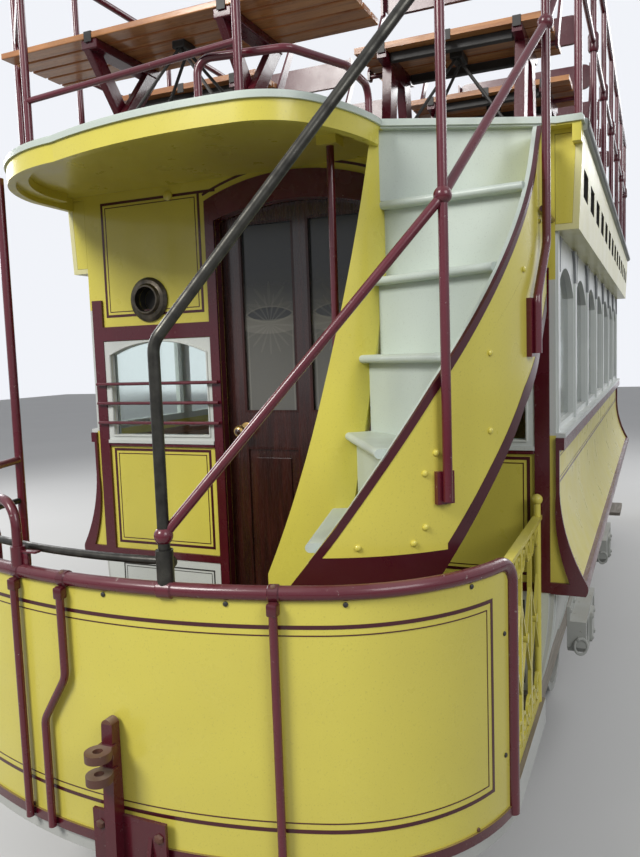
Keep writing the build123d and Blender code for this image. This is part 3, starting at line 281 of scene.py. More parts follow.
# %% The car's paints
YELLOW = {"Paint": (0.700, 0.620, 0.100), "Faded": (0.640, 0.560, 0.095), "Gloss": 0.30, "Dust": 0.15}
CREAM = {"Paint": (0.740, 0.705, 0.370), "Faded": (0.680, 0.650, 0.340), "Gloss": 0.35, "Dust": 0.20}
STAIR = {"Paint": (0.560, 0.630, 0.570), "Faded": (0.490, 0.560, 0.520), "Gloss": 0.40, "Dust": 0.20}
DECK = {"Paint": (0.400, 0.430, 0.410), "Faded": (0.310, 0.340, 0.330), "Gloss": 0.55, "Dust": 0.50}
MAROON = {"Paint": (0.068, 0.0035, 0.010), "Faded": (0.088, 0.005, 0.014), "Gloss": 0.24, "Dust": 0.10,
          "Chips": 0.35, "Under": (0.300, 0.240, 0.220)}
RAIL_MAROON = {**MAROON, "Paint": (0.088, 0.0045, 0.013), "Faded": (0.115, 0.008, 0.020), "Chips": 0.8}
LINING = {"Paint": (0.050, 0.004, 0.009), "Faded": (0.060, 0.006, 0.012), "Gloss": 0.30, "Dust": 0.05}
WHITE = {"Paint": (0.660, 0.690, 0.660), "Faded": (0.560, 0.590, 0.570), "Gloss": 0.35, "Dust": 0.30}
WORN_WHITE = {"Paint": (0.560, 0.570, 0.540), "Faded": (0.420, 0.430, 0.410), "Gloss": 0.50, "Dust": 0.35,
              "Chips": 0.7, "Under": (0.200, 0.170, 0.140)}
SHADE_GREY = {"Paint": (0.230, 0.240, 0.250), "Faded": (0.180, 0.190, 0.200), "Gloss": 0.45, "Dust": 0.30}
IRON_GREY = {"Paint": (0.470, 0.480, 0.450), "Faded": (0.370, 0.380, 0.350), "Gloss": 0.50, "Dust": 0.50,
             "Chips": 0.8, "Under": (0.120, 0.060, 0.030)}
BLACK = {"Paint": (0.022, 0.021, 0.020), "Faded": (0.040, 0.038, 0.035), "Gloss": 0.45, "Dust": 0.25,
         "Chips": 0.4, "Under": (0.100, 0.050, 0.030)}
RUSTY = {"Paint": (0.130, 0.052, 0.030), "Faded": (0.075, 0.034, 0.026), "Gloss": 0.65, "Dust": 0.35,
         "Chips": 0.8, "Under": (0.240, 0.190, 0.160)}
POLISHED = {"Paint": (0.300, 0.290, 0.280), "Faded": (0.200, 0.180, 0.160), "Gloss": 0.22, "Dust": 0.2}


def paint(name, look, coat=0.25, relief=0.25):
    """A gloss or satin paint over wood or iron."""
    return dressed(name, lambda tree: painted(tree, look), relief, 0.0008, coat, look["Paint"])


yellow = paint("yellow paint", YELLOW)
cream = paint("cream paint", CREAM)
stair_grey = paint("stair grey paint", STAIR, coat=0.1)
maroon = paint("maroon paint", MAROON, coat=0.3)
rail_maroon = paint("maroon rail paint", RAIL_MAROON, coat=0.4)
lining = paint("maroon lining", LINING, coat=0.2, relief=0.1)
dark_line = paint("black lining", {**BLACK, "Chips": 0.0}, coat=0.1, relief=0.1)
white = paint("white paint", WHITE)
worn_white = paint("worn white paint", WORN_WHITE, coat=0.05)
shade_grey = paint("shade grey paint", SHADE_GREY, coat=0.1)
iron_grey = paint("grey iron paint", IRON_GREY, coat=0.0)
black_iron = paint("black iron", BLACK, coat=0.0)
rusty = paint("rusty iron", RUSTY, coat=0.0, relief=0.9)
print("paints ready")

# %% [markdown]
# ## Wood
#
# Three woods show: the varnished slats of the deck seats, the dark mahogany of the doors, and the plain frame
# timber below. Grain is a noise that is stretched along the board, with finer pores over it. The board's long
# way differs from piece to piece, so the group takes the stretch as an input.

# %% Group: wood grain
grain_group, inside, outside = new_group(
    "Wood grain",
    [("Light", COLOUR, (0.5, 0.3, 0.15, 1)), ("Dark", COLOUR, (0.2, 0.1, 0.05, 1)),
     ("Stretch", VECTOR, (1.0, 12.0, 12.0)), ("Gloss", FLOAT, 0.3)],
    [("Colour", COLOUR), ("Roughness", FLOAT), ("Height", FLOAT)],
)
given = inside.outputs
place = node(grain_group, "ShaderNodeTexCoord").outputs["Object"]
along = node(grain_group, "ShaderNodeMapping", {"Vector": place, "Scale": given["Stretch"]}).outputs[0]
rings = noise(grain_group, along, 2.4, 5.0, Distortion=0.8)
pores = noise(grain_group, along, 19.0, 3.0)
board = mixed(grain_group, between(grain_group, rings, 0.35, 0.65), given["Light"], given["Dark"])
board = mixed(grain_group, between(grain_group, pores, 0.55, 0.72, 0.0, 0.45), board, given["Dark"])
sheen = maths(grain_group, "ADD", given["Gloss"], between(grain_group, pores, 0.3, 0.8, -0.04, 0.16))
hand_out(grain_group, outside, Colour=board, Roughness=sheen, Height=pores)
print("group", grain_group.name, "has", len(grain_group.nodes), "nodes")


# %% Wood materials
def grained(tree, look):
    """Adds wood grain to a tree and returns its colour, roughness and height."""
    return placed_group(tree, grain_group, look)


def wood(name, look, coat=0.4):
    """A timber with its grain along one axis."""
    return dressed(name, lambda tree: grained(tree, look), 0.25, 0.0006, coat, look["Light"])


ALONG_X, ALONG_Y, ALONG_Z = (1.2, 14.0, 14.0), (14.0, 1.2, 14.0), (14.0, 14.0, 1.2)
SLAT = {"Light": (0.520, 0.235, 0.085), "Dark": (0.300, 0.115, 0.040), "Stretch": ALONG_Y, "Gloss": 0.30}
BENCH = {"Light": (0.380, 0.180, 0.075), "Dark": (0.220, 0.090, 0.038), "Stretch": ALONG_X, "Gloss": 0.30}
MAHOGANY = {"Light": (0.050, 0.012, 0.009), "Dark": (0.022, 0.006, 0.005), "Stretch": ALONG_Z, "Gloss": 0.22}
FRAME = {"Light": (0.300, 0.270, 0.230), "Dark": (0.180, 0.160, 0.130), "Stretch": ALONG_X, "Gloss": 0.65}
FLOOR = {"Light": (0.240, 0.200, 0.160), "Dark": (0.140, 0.115, 0.090), "Stretch": ALONG_X, "Gloss": 0.60}
mahogany = wood("mahogany", MAHOGANY, coat=0.6)
matt_mahogany = wood("matt mahogany", MAHOGANY, coat=0.0)
frame_timber = wood("frame timber", FRAME, coat=0.0)
print("woods ready")

# %% [markdown]
# ## Boards
#
# Floors, ceilings and benches are made of boards laid edge to edge. One small group marks the joint between
# two boards along a coordinate, and each boarded finish darkens and sinks it.

# %% Group: board joints
joint_group, inside, outside = new_group(
    "Board joints",
    [("Across", FLOAT, 0.0), ("Pitch", FLOAT, 0.1), ("Width", FLOAT, 0.003)],
    [("Joint", FLOAT)],
)
given = inside.outputs
laid = maths(joint_group, "FRACT", maths(joint_group, "DIVIDE", given["Across"], given["Pitch"]))
from_joint = maths(joint_group, "ABSOLUTE", maths(joint_group, "SUBTRACT", laid, 0.5))
distance = maths(joint_group, "MULTIPLY", maths(joint_group, "SUBTRACT", 0.5, from_joint), given["Pitch"])
hand_out(joint_group, outside, Joint=maths(joint_group, "LESS_THAN", distance, given["Width"]))
print("group", joint_group.name, "has", len(joint_group.nodes), "nodes")


# %% Boarded finishes
JOINT_COLOUR = (0.02, 0.017, 0.014, 1)


def boarded(tree, look, across, pitch, width):
    """A look with the joints between its boards marked."""
    colour, rough, height = look
    joint = placed_group(tree, joint_group, {"Across": across, "Pitch": pitch, "Width": width})[0]
    dark = mixed(tree, maths(tree, "MULTIPLY", joint, 0.75), colour, JOINT_COLOUR)
    return dark, rough, maths(tree, "SUBTRACT", height, maths(tree, "MULTIPLY", joint, 2.0))


def boards(name, add, look, axis, pitch, width, relief, coat):
    """A material of boards laid side by side along an axis."""
    flat = look["Paint"] if "Paint" in look else look["Light"]
    return dressed(name, lambda tree: boarded(tree, add(tree, look), axes(tree)[axis], pitch, width),
                   relief, 0.001, coat, flat)


ceiling_cream = boards("boarded ceiling", painted, CREAM, 1, 0.100, 0.002, 0.5, 0.2)
bench_wood = boards("boarded bench", grained, BENCH, 2, 0.085, 0.002, 0.4, 0.4)
floor_wood = boards("boarded floor", grained, FLOOR, 1, 0.110, 0.003, 0.5, 0.0)
deck_boards = boards("boarded deck", painted, DECK, 1, 0.120, 0.003, 0.5, 0.0)
print("boarded finishes ready")

# %% [markdown]
# ## Finishes in two looks
#
# One CAD node often carries two paints. The dash has a maroon foot, the seats have varnished slats on painted
# legs, and the coupling's eyes are rusty. A second mesh over the first would fight with it, so each such
# finish holds both looks and a mask. A mask is a simple test of the place, put together from these helpers.

# %% Masks
def beyond(tree, value, limit):
    """A mask that is one where a value is over a limit."""
    return between(tree, value, limit - 0.0004, limit + 0.0004)


def over(tree, axis, limit):
    """A mask that is one over a limit along an axis."""
    return beyond(tree, axes(tree)[axis], limit)


def size_of(tree, axis):
    """How far a point is from the middle of the car along an axis."""
    return maths(tree, "ABSOLUTE", axes(tree)[axis])


def all_of(tree, *masks):
    """A mask that is one where all the masks are."""
    result = masks[0]
    for mask in masks[1:]:
        result = maths(tree, "MULTIPLY", result, mask)
    return result


def but_not(tree, mask):
    """A mask turned round."""
    return maths(tree, "SUBTRACT", 1.0, mask)


def below(tree, value, limit):
    """A mask that is one where a value is under a limit."""
    return but_not(tree, beyond(tree, value, limit))


def normal_of(tree):
    """The X, Y and Z of the way that the surface faces."""
    facing = node(tree, "ShaderNodeNewGeometry").outputs["Normal"]
    return node(tree, "ShaderNodeSeparateXYZ", {0: facing}).outputs


def distance_of(tree, first, second):
    """The long side of a right angle's triangle."""
    squares = [maths(tree, "MULTIPLY", side, side) for side in (first, second)]
    return maths(tree, "SQRT", maths(tree, "ADD", *squares))


def two_paints(tree, first, second, share):
    """The first paint where the mask is nought and the second where it is one."""
    return two_looks(tree, painted(tree, first), painted(tree, second), share)


print("masks ready, materials so far:", len(bpy.data.materials))

# %% [markdown]
# ## The body's paint
#
# The bulkhead is yellow on its face only: the sides of the doorway are maroon, those of the windows white,
# and the lamp hole is painted black as painted shade for its dark inside. The letter boards are painted black
# inside their vents, a painted shade for the dark space behind them. The window wall is white, but its ends
# are yellow over the corner posts.

# %% Bulkhead, letter boards and window wall
WALL_BACK_X, WALL_FACE_X, LAMP_SHADE_LEVEL, DOORWAY_SIDE = 2.1608, 2.1988, 1.95, 0.36
VENT_FOOT, VENT_TOP, VENT_END_X = 2.3188, 2.4112, 2.160
BOARD_LEAN, BOARD_BACK = 0.04516, 0.9495


def bulkhead_look(tree):
    """A yellow wall whose openings have their own colours, the lamp hole's black being painted shade."""
    x, y = size_of(tree, 0), size_of(tree, 1)
    deep = all_of(tree, beyond(tree, x, WALL_BACK_X), below(tree, x, WALL_FACE_X))
    # above the lamp level the sides of the hole are painted black, a painted shade for the dark lamp hole
    reveal_and_lamp_shade = two_paints(tree, WHITE, BLACK, over(tree, 2, LAMP_SHADE_LEVEL))
    reveal_and_lamp_shade = two_looks(tree, painted(tree, MAROON), reveal_and_lamp_shade, beyond(tree, y, DOORWAY_SIDE))
    return two_looks(tree, painted(tree, YELLOW), reveal_and_lamp_shade, deep)


def letterboard_look(tree):
    """A cream board, painted black inside its vents as painted shade; the vents lie behind its sloping face.
    """
    lean = maths(tree, "SUBTRACT", size_of(tree, 1), maths(tree, "MULTIPLY", axes(tree)[2], BOARD_LEAN))
    # inside the vents the board is painted black, a painted shade for the dark space behind them
    vents = all_of(tree, over(tree, 2, VENT_FOOT), but_not(tree, over(tree, 2, VENT_TOP)),
                   below(tree, size_of(tree, 0), VENT_END_X), below(tree, lean, BOARD_BACK))
    return two_paints(tree, CREAM, BLACK, vents)


def window_wall_look(tree):
    """White pillars whose ends are yellow over the corner posts."""
    ends = all_of(tree, beyond(tree, size_of(tree, 0), 2.1985), over(tree, 2, 2.04))
    return two_paints(tree, WHITE, YELLOW, ends)


def body_paint(name, look, flat_look, relief=0.25, coat=0.25):
    """A paint in two looks for the body."""
    return dressed(name, look, relief, 0.0008, coat, flat_look["Paint"])


bulkhead_paint = body_paint("bulkhead paint", bulkhead_look, YELLOW)
letterboard_paint = body_paint("letter board paint", letterboard_look, CREAM)
window_wall_paint = body_paint("window wall paint", window_wall_look, WHITE, coat=0.2)
print("body paints ready")

# %% [markdown]
# ## The stair's and the canopy's paint
#
# The outer string is bent round a drum. Its outside is yellow, and of its top edge the outer half is maroon
# and the inner half grey like the steps. The canopy and the deck are yellow below and on their edges, with
# grey boards on top. At the landing the canopy's edge is grey, which is on the stair's side only.

# %% Outer string
DRUM_X, DRUM_Y, DRUM_R = 2.460, 0.288, 0.666


def string_look(tree):
    """A yellow board on a drum, whose top edge is maroon outside and stair grey inside."""
    up = normal_of(tree)["Z"]
    along = maths(tree, "MAXIMUM", maths(tree, "SUBTRACT", size_of(tree, 0), DRUM_X), 0.0)
    across = maths(tree, "SUBTRACT", size_of(tree, 1), DRUM_Y)
    outer_half = beyond(tree, distance_of(tree, along, across), DRUM_R - 0.013)
    edge = two_paints(tree, STAIR, LINING, outer_half)
    return two_looks(tree, painted(tree, YELLOW), edge, beyond(tree, up, 0.4))


string_paint = body_paint("outer string paint", string_look, YELLOW)
print("string paint ready")

# %% Canopy and deck
DECK_TOP, DECK_EDGE_Y, DECK_END_X = 2.547, 1.0395, 2.2005
LANDING_YS, LANDING_END_X = (0.479, 0.95), 2.74


def deck_boarding(tree):
    """The grey boards of the upper deck."""
    return boarded(tree, painted(tree, DECK), axes(tree)[1], 0.120, 0.003)


def canopy_look(tree):
    """Yellow below, deck boards on top, and stair grey at the landing's edge."""
    facing, x, y = normal_of(tree), size_of(tree, 0), size_of(tree, 1)
    down = beyond(tree, maths(tree, "MULTIPLY", facing["Z"], -1.0), 0.5)
    endways = beyond(tree, maths(tree, "ABSOLUTE", facing["X"]), 0.6)
    stair_side = beyond(tree, maths(tree, "MULTIPLY", axes(tree)[0], axes(tree)[1]), 0.9)
    landing = all_of(tree, maths(tree, "MAXIMUM", down, endways), below(tree, y, LANDING_YS[1]),
                     beyond(tree, y, LANDING_YS[0]), below(tree, x, LANDING_END_X), stair_side)
    sides = two_paints(tree, YELLOW, STAIR, landing)
    return two_looks(tree, sides, deck_boarding(tree), over(tree, 2, DECK_TOP))


def deck_look(tree):
    """Grey boards, and grey sides between the canopies. The rest is yellow."""
    x, y = size_of(tree, 0), size_of(tree, 1)
    sides = all_of(tree, beyond(tree, y, DECK_EDGE_Y), below(tree, x, DECK_END_X))
    grey = maths(tree, "MAXIMUM", over(tree, 2, DECK_TOP), sides)
    return two_looks(tree, painted(tree, YELLOW), deck_boarding(tree), grey)


canopy_paint = body_paint("canopy paint", canopy_look, YELLOW, coat=0.1)
deck_finish = dressed("deck finish", deck_look, 0.5, 0.001, 0.0, DECK["Paint"])
print("canopy and deck ready")

# %% [markdown]
# ## Finishes of the ironwork and the seats
#
# The wheels are grey with polished treads. The coupling is maroon with rusty eyes and a rusty top. The dash
# is maroon under its lowest bead. The deck seats are varnished over their painted legs, and the platform has
# a boarded top and a pale sill.

# %% Wheels, coupling, dash, seats and platform
WHEEL_X, WHEEL_Z, TREAD_R = 0.838, 0.400, 0.3736
COUPLING_EYE_X, COUPLING_TOP = 3.4125, 0.893
DASH_FOOT, SLAT_FOOT, SILL_TOP = 0.5622, 2.9575, 0.5795


def wheel_look(tree):
    """Grey iron with the tread and flange polished by the rails."""
    x = maths(tree, "SUBTRACT", size_of(tree, 0), WHEEL_X)
    z = maths(tree, "SUBTRACT", axes(tree)[2], WHEEL_Z)
    tread = beyond(tree, distance_of(tree, x, z), TREAD_R)
    return two_paints(tree, IRON_GREY, POLISHED, tread)


def coupling_look(tree):
    """A maroon upright with rusty eyes and a rusty top."""
    eyes = all_of(tree, beyond(tree, size_of(tree, 0), COUPLING_EYE_X), over(tree, 2, 0.70))
    worn = maths(tree, "MAXIMUM", eyes, over(tree, 2, COUPLING_TOP))
    return two_paints(tree, MAROON, RUSTY, worn)


def dash_look(tree):
    """Yellow over a maroon foot."""
    return two_paints(tree, MAROON, YELLOW, over(tree, 2, DASH_FOOT))


def seat_look(tree):
    """Varnished slats over maroon legs."""
    return two_looks(tree, painted(tree, MAROON), grained(tree, SLAT), over(tree, 2, SLAT_FOOT))


def platform_look(tree):
    """Floor boards over a pale sill."""
    top = boarded(tree, grained(tree, FLOOR), axes(tree)[1], 0.075, 0.004)
    return two_looks(tree, painted(tree, WORN_WHITE), top, over(tree, 2, SILL_TOP))


wheel_iron = body_paint("wheel iron", wheel_look, IRON_GREY, relief=0.3, coat=0.0)
coupling_finish = dressed("coupling", coupling_look, 0.6, 0.001, 0.2, MAROON["Paint"])
dash_paint = body_paint("dash paint", dash_look, YELLOW, coat=0.35)
bench_slats = wood("bench slats", SLAT)
seat_finish = dressed("deck seat", seat_look, 0.4, 0.0007, 0.15, SLAT["Light"])
platform_finish = dressed("platform", platform_look, 0.5, 0.001, 0.0, FLOOR["Light"])
print("finishes so far:", len(bpy.data.materials))

# %% [markdown]
# ## Metal and glass
#
# The bell ring round the lamp hole and the stair's long handrail are bare metal gone dark. The windows are
# plain sheet glass with a thin film of dirt, which makes them a little duller in patches.

# %% Metal and glass materials
def metal(name, bright, dull, rough, scale=30.0):
    """A bare metal with tarnish."""
    material, tree, shader = new_material(name)
    place = node(tree, "ShaderNodeTexCoord").outputs["Object"]
    cloud = noise(tree, place, scale, 6.0)
    tarnish = between(tree, cloud, 0.35, 0.65)
    tree.links.new(mixed(tree, tarnish, (*bright, 1), (*dull, 1)), shader.inputs["Base Color"])
    tree.links.new(between(tree, cloud, 0.3, 0.7, rough - 0.08, rough + 0.15), shader.inputs["Roughness"])
    bumped(tree, shader, cloud, 0.15, 0.0005)
    shader.inputs["Metallic"].default_value = 0.85
    material.diffuse_color = (*bright, 1)
    return material


bronze = metal("dark bronze", (0.10, 0.085, 0.065), (0.045, 0.04, 0.033), 0.4)
handrail_metal = metal("worn handrail", (0.062, 0.060, 0.052), (0.028, 0.027, 0.024), 0.34)
brass = metal("brass", (0.60, 0.42, 0.16), (0.34, 0.22, 0.08), 0.22)
spring_steel = metal("spring steel", (0.10, 0.10, 0.10), (0.05, 0.045, 0.04), 0.5)
print("metals ready")


# %% Window glass
def glass(name, tint, rough, transmission):
    """Sheet glass with a little dirt in it."""
    material, tree, shader = new_material(name)
    place = node(tree, "ShaderNodeTexCoord").outputs["Object"]
    film = noise(tree, place, 3.0, 6.0)
    tree.links.new(between(tree, film, 0.3, 0.8, rough, rough + 0.12), shader.inputs["Roughness"])
    shader.inputs["Base Color"].default_value = (*tint, 1)
    shader.inputs["Transmission Weight"].default_value = transmission
    shader.inputs["IOR"].default_value = 1.45
    material.diffuse_color = (*tint, 1)
    return material


clear_glass = glass("window glass", (0.86, 0.92, 0.90), 0.02, 1.0)
print("glass ready:", clear_glass.name)

# %% [markdown]
# ## Etched door glass
#
# Each light of the door is etched below with a plain old pattern: a fine border, a pointed oval with a band
# under it, and a fan of petals. Above it the glass is only faintly etched, and where it is clear it is
# painted near black, a painted shade for the dark saloon behind it. The pattern is drawn from the place on
# the glass, measured from the middle of its own light, and it holds no letters.

# %% Door glass
LIGHT_MIDDLES, LIGHT_HALF = (-0.1325, 0.1660), 0.113
OVAL_Z, FAN_Z, CROWN_Z = 1.985, 1.945, 2.010
CLEAR_GLASS_SHADE, FROST_PALE = (0.014, 0.019, 0.024, 1), (0.270, 0.265, 0.240, 1)


def rays(do, across, rise, count, spread_by):
    """A fan of rays round a point: which points are on a ray, and how far they are from its middle."""
    turn = do("ARCTAN2", across, rise)
    squares = [do("POWER", do("ABSOLUTE", side), 2.0) for side in (across, rise)]
    reach = do("SQRT", do("ADD", *squares))
    waves = do("COSINE", do("MULTIPLY", turn, count))
    return do("GREATER_THAN", waves, do("MULTIPLY", reach, spread_by)), reach


def door_glass(name):
    """Etched glass for both lights of a door leaf, at either end of the car."""
    material, tree, shader = new_material(name)
    x, y, z = axes(tree)

    def do(*what):
        return maths(tree, *what)

    across = do("MULTIPLY", y, do("SIGN", x))
    local = do("SUBTRACT", across, between(tree, across, 0.015, 0.017, *LIGHT_MIDDLES))
    width = do("ABSOLUTE", local)
    rise = do("SUBTRACT", z, OVAL_Z)
    edge = do("ABSOLUTE", do("SUBTRACT", width, LIGHT_HALF - 0.014))
    border = do("MULTIPLY", do("LESS_THAN", edge, 0.0022), do("LESS_THAN", z, FAN_Z))
    oval_x = do("POWER", do("DIVIDE", width, 0.103), 2.0)
    oval = do("ADD", oval_x, do("POWER", do("DIVIDE", do("ABSOLUTE", rise), 0.030), 1.3))
    rim = do("LESS_THAN", do("ABSOLUTE", do("SUBTRACT", oval, 1.0)), 0.10)
    bow = do("ADD", rise, do("MULTIPLY", oval_x, -0.012))
    band = do("MULTIPLY", do("GREATER_THAN", bow, -0.078), do("LESS_THAN", bow, -0.022))
    fan, fan_reach = rays(do, local, do("SUBTRACT", FAN_Z, z), 17.0, 8.0)
    fan = do("MULTIPLY", fan, do("LESS_THAN", fan_reach, 0.120))
    leaves = rays(do, local, do("SUBTRACT", z, CROWN_Z), 9.0, 9.5)[0]
    leaves = do("MULTIPLY", leaves, do("GREATER_THAN", z, CROWN_Z))
    frost = between(tree, z, 1.93, 2.16, 0.62, 0.10)
    frost = do("SUBTRACT", frost, do("MULTIPLY", do("LESS_THAN", oval, 1.0), 0.35))
    for mark, weight in ((border, 0.35), (rim, 0.5), (band, 0.38), (fan, 0.20), (leaves, 0.16)):
        frost = do("ADD", frost, do("MULTIPLY", mark, weight))
    frost = between(tree, frost, 0.0, 1.2)
    place = node(tree, "ShaderNodeTexCoord").outputs["Object"]
    frost = do("MULTIPLY", frost, between(tree, noise(tree, place, 420.0, 2.0), 0.3, 0.7, 0.85, 1.08))
    # the glass that is not frosted is painted near black, a painted shade for the dark saloon seen through it
    tree.links.new(mixed(tree, frost, CLEAR_GLASS_SHADE, FROST_PALE), shader.inputs["Base Color"])
    tree.links.new(between(tree, frost, 0.0, 0.6, 0.12, 0.62), shader.inputs["Roughness"])
    shader.inputs["Transmission Weight"].default_value = 0.12
    shader.inputs["IOR"].default_value = 1.45
    material.diffuse_color = (0.3, 0.3, 0.3, 1)
    return material


etched_glass = door_glass("etched glass")
print("etched glass nodes:", len(etched_glass.node_tree.nodes))

# %% [markdown]
# ## Give each CAD node its finish
#
# The record names a material slot for every node, so one table turns slots into finishes. A second table
# names the nodes whose finish has two looks or boards. A node's own mesh is left as it came.

# %% Dress the CAD nodes
FINISH = {
    "yellow_paint": yellow,
    "cream_paint": cream,
    "white_paint": white,
    "stair_paint": stair_grey,
    "grey_paint": deck_boards,
    "maroon_ironwork": rail_maroon,
    "maroon_timber": maroon,
    "grey_iron": iron_grey,
    "spring_steel": spring_steel,
    "bronze": bronze,
    "handrail_bronze": handrail_metal,
    "varnished_wood": bench_wood,
    "mahogany": mahogany,
    "frame_timber": frame_timber,
    "clear_glass": clear_glass,
    "frosted_glass": etched_glass,
}
BY_NODE = {
    "dash": dash_paint,
    "seats": seat_finish,
    "platform": platform_finish,
    "couplings": coupling_finish,
    "ceiling": ceiling_cream,
    "saloon_floor": floor_wood,
    "rocker_panels": worn_white,
    "bulkhead": bulkhead_paint,
    "letterboards": letterboard_paint,
    "outer_string": string_paint,
    "side_windows": window_wall_paint,
    "upper_deck": deck_finish,
    "canopy": canopy_paint,
    "wheels": wheel_iron,
}


def finish_node(name, material):
    """Gives a CAD node one finish."""
    solid = frame["nodes"][name]
    if not solid.material_slots:
        solid.data.materials.append(material)
    for slot in solid.material_slots:
        slot.material = material


for part in frame["record"]["subparts"]:
    plain = part["node"].removesuffix("_a").removesuffix("_b").removesuffix("_left").removesuffix("_right")
    finish_node(part["node"], BY_NODE.get(plain, FINISH[part["material_slot"]]))

# %% [markdown]
# ## Helpers for modelling
#
# Each new piece starts from one of Blender's primitives and is shaped with the operators that a hand would
# use. An operator acts on all that is selected, so every helper starts from an empty selection. A finished
# piece keeps its place in its mesh, so its object sits at the origin as the CAD nodes do.

# %% Helpers: start, change and settle a piece
def begun(primitive, **settings):
    """Adds a primitive with nothing else selected."""
    bpy.ops.object.select_all(action="DESELECT")
    primitive(**settings)
    return bpy.context.object


def chosen(*pieces):
    """Selects these pieces only, the first of them active."""
    bpy.ops.object.select_all(action="DESELECT")
    for piece in pieces:
        piece.select_set(True)
    bpy.context.view_layer.objects.active = pieces[0]


def applied(piece, kind, **settings):
    """Adds a modifier and applies it."""
    chosen(piece)
    modifier = piece.modifiers.new(kind.title(), kind)
    for key, value in settings.items():
        setattr(modifier, key, value)
    bpy.ops.object.modifier_apply(modifier=modifier.name)
    return piece


def joined(pieces):
    """Joins several shapes in one piece."""
    chosen(*pieces)
    if len(pieces) > 1:
        bpy.ops.object.join()
    return bpy.context.object


def settled(piece, name, finish, body="car", smooth=False):
    """Puts a piece's place in its mesh, names it, dresses it and lets it ride on a body."""
    chosen(piece)
    bpy.ops.object.transform_apply(location=True, rotation=True, scale=True)
    if smooth:
        bpy.ops.object.shade_smooth_by_angle(angle=math.radians(40))
    piece.name = piece.data.name = name
    piece.data.materials.clear()
    piece.data.materials.append(finish)
    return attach(piece, body)


# %% [markdown]
# ## Copies
#
# Both ends are alike after half a turn, and both sides are mirror images. Linked copies would share one mesh,
# and each piece has to have its own, so the mesh is copied too. A mirrored mesh is inside out until its
# faces are flipped.

# %% Copies at the other end and on the other side
def placed_copy(piece, matrix, name, body):
    """A copy with its own mesh, moved by a matrix."""
    twin = piece.copy()
    twin.data = piece.data.copy()
    twin.data.transform(matrix)
    if matrix.determinant() < 0:
        twin.data.flip_normals()
    twin.name = twin.data.name = name
    bpy.context.scene.collection.objects.link(twin)
    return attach(twin, body)


def at_both_ends(shapes, name, finish, **settings):
    """Joins shapes that are modelled at the A end, and copies them to the B end by half a turn."""
    piece = settled(joined(shapes), name + "_a", finish, **settings)
    half_turn = Matrix.Rotation(math.pi, 4, "Z")
    placed_copy(piece, half_turn, name + "_b", piece["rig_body"].replace("_a", "_b"))
    print(name, "has", len(piece.data.polygons), "faces at each end")


def on_both_sides(shapes, name, finish, **settings):
    """Joins shapes that are modelled on the +Y side, and mirrors them to the other side."""
    piece = settled(joined(shapes), name + "_right", finish, **settings)
    placed_copy(piece, Matrix.Scale(-1, 4, (0, 1, 0)), name + "_left", piece["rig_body"])
    print(name, "has", len(piece.data.polygons), "faces on each side")

# %% [markdown]
# ## Lining on the dash
#
# The dash is a sheet bent round a wide front arc and two tighter corners. A coach painter's lining runs round
# it: a broad line with a fine one inside it. Each line is a thin strip bent to the same plan as the sheet, so
# it stays crisp from close by, where a painted mask would blur.

# %% The dash's plan
FRONT_R, CORNER_R, FRONT_X, CORNER_START_Y = 1.725, 0.576, 3.364, 0.550
CORNER_TURN = math.asin(CORNER_START_Y / FRONT_R)
FRONT_CENTRE_X = FRONT_X - FRONT_R
CORNER_X = FRONT_CENTRE_X + (FRONT_R - CORNER_R) * math.cos(CORNER_TURN)
CORNER_Y = (FRONT_R - CORNER_R) * math.sin(CORNER_TURN)
FRONT_ARC = FRONT_R * CORNER_TURN


def dash_spot(run, z, out=0.0006):
    """A point on the dash's outside, so many metres round from its middle."""
    side = 1 if run >= 0 else -1
    if abs(run) <= FRONT_ARC:
        turn, x, y, r = abs(run) / FRONT_R, FRONT_CENTRE_X, 0.0, FRONT_R
    else:
        turn, x, y, r = CORNER_TURN + (abs(run) - FRONT_ARC) / CORNER_R, CORNER_X, CORNER_Y, CORNER_R
    return Vector((x + (r + out) * math.cos(turn), side * (y + (r + out) * math.sin(turn)), z))


print("half of the dash's front arc is", round(FRONT_ARC, 3), "m long")


# %% Bent strips
def strip(steps, place, thickness=0.0008):
    """A strip of paint or thin metal: a flat grid bent so that place(along, across) gives its points."""
    piece = begun(bpy.ops.mesh.primitive_grid_add, x_subdivisions=steps, y_subdivisions=1, size=1)
    for vertex in piece.data.vertices:
        vertex.co = place(vertex.co.x + 0.5, vertex.co.y + 0.5)
    return applied(piece, "SOLIDIFY", thickness=thickness, offset=0)


def dash_strip(run0, run1, z0, z1):
    """A painted strip on the dash."""
    steps = max(1, round(abs(run1 - run0) / 0.02))
    return strip(steps, lambda u, v: dash_spot(run0 + (run1 - run0) * u, z0 + (z1 - z0) * v))


def dash_frame(end, low, high, width):
    """A painted line round the dash with square corners."""
    half = width / 2
    return [
        dash_strip(-end - half, end + half, high - half, high + half),
        dash_strip(-end - half, end + half, low - half, low + half),
        dash_strip(-end - half, -end + half, low + half, high - half),
        dash_strip(end - half, end + half, low + half, high - half),
    ]


print("the dash's corners start", round(math.degrees(CORNER_TURN), 1), "degrees round")

# %% Dash lining
broad_line, fine_line = dash_frame(1.047, 0.648, 1.167, 0.010), dash_frame(1.026, 0.669, 1.146, 0.003)
at_both_ends(broad_line + fine_line, "dash_lining", lining)

# %% [markdown]
# ## Bolts and clips of the dash
#
# Small black bolts hold the sheet to the rail and to the end posts, and each stay meets the rail in a clip
# with a bolt through it. One head is modelled and copied along the dash. A saddle holds the foot of the
# stair's top rail, and a small latch bracket stands beside the grab tube.

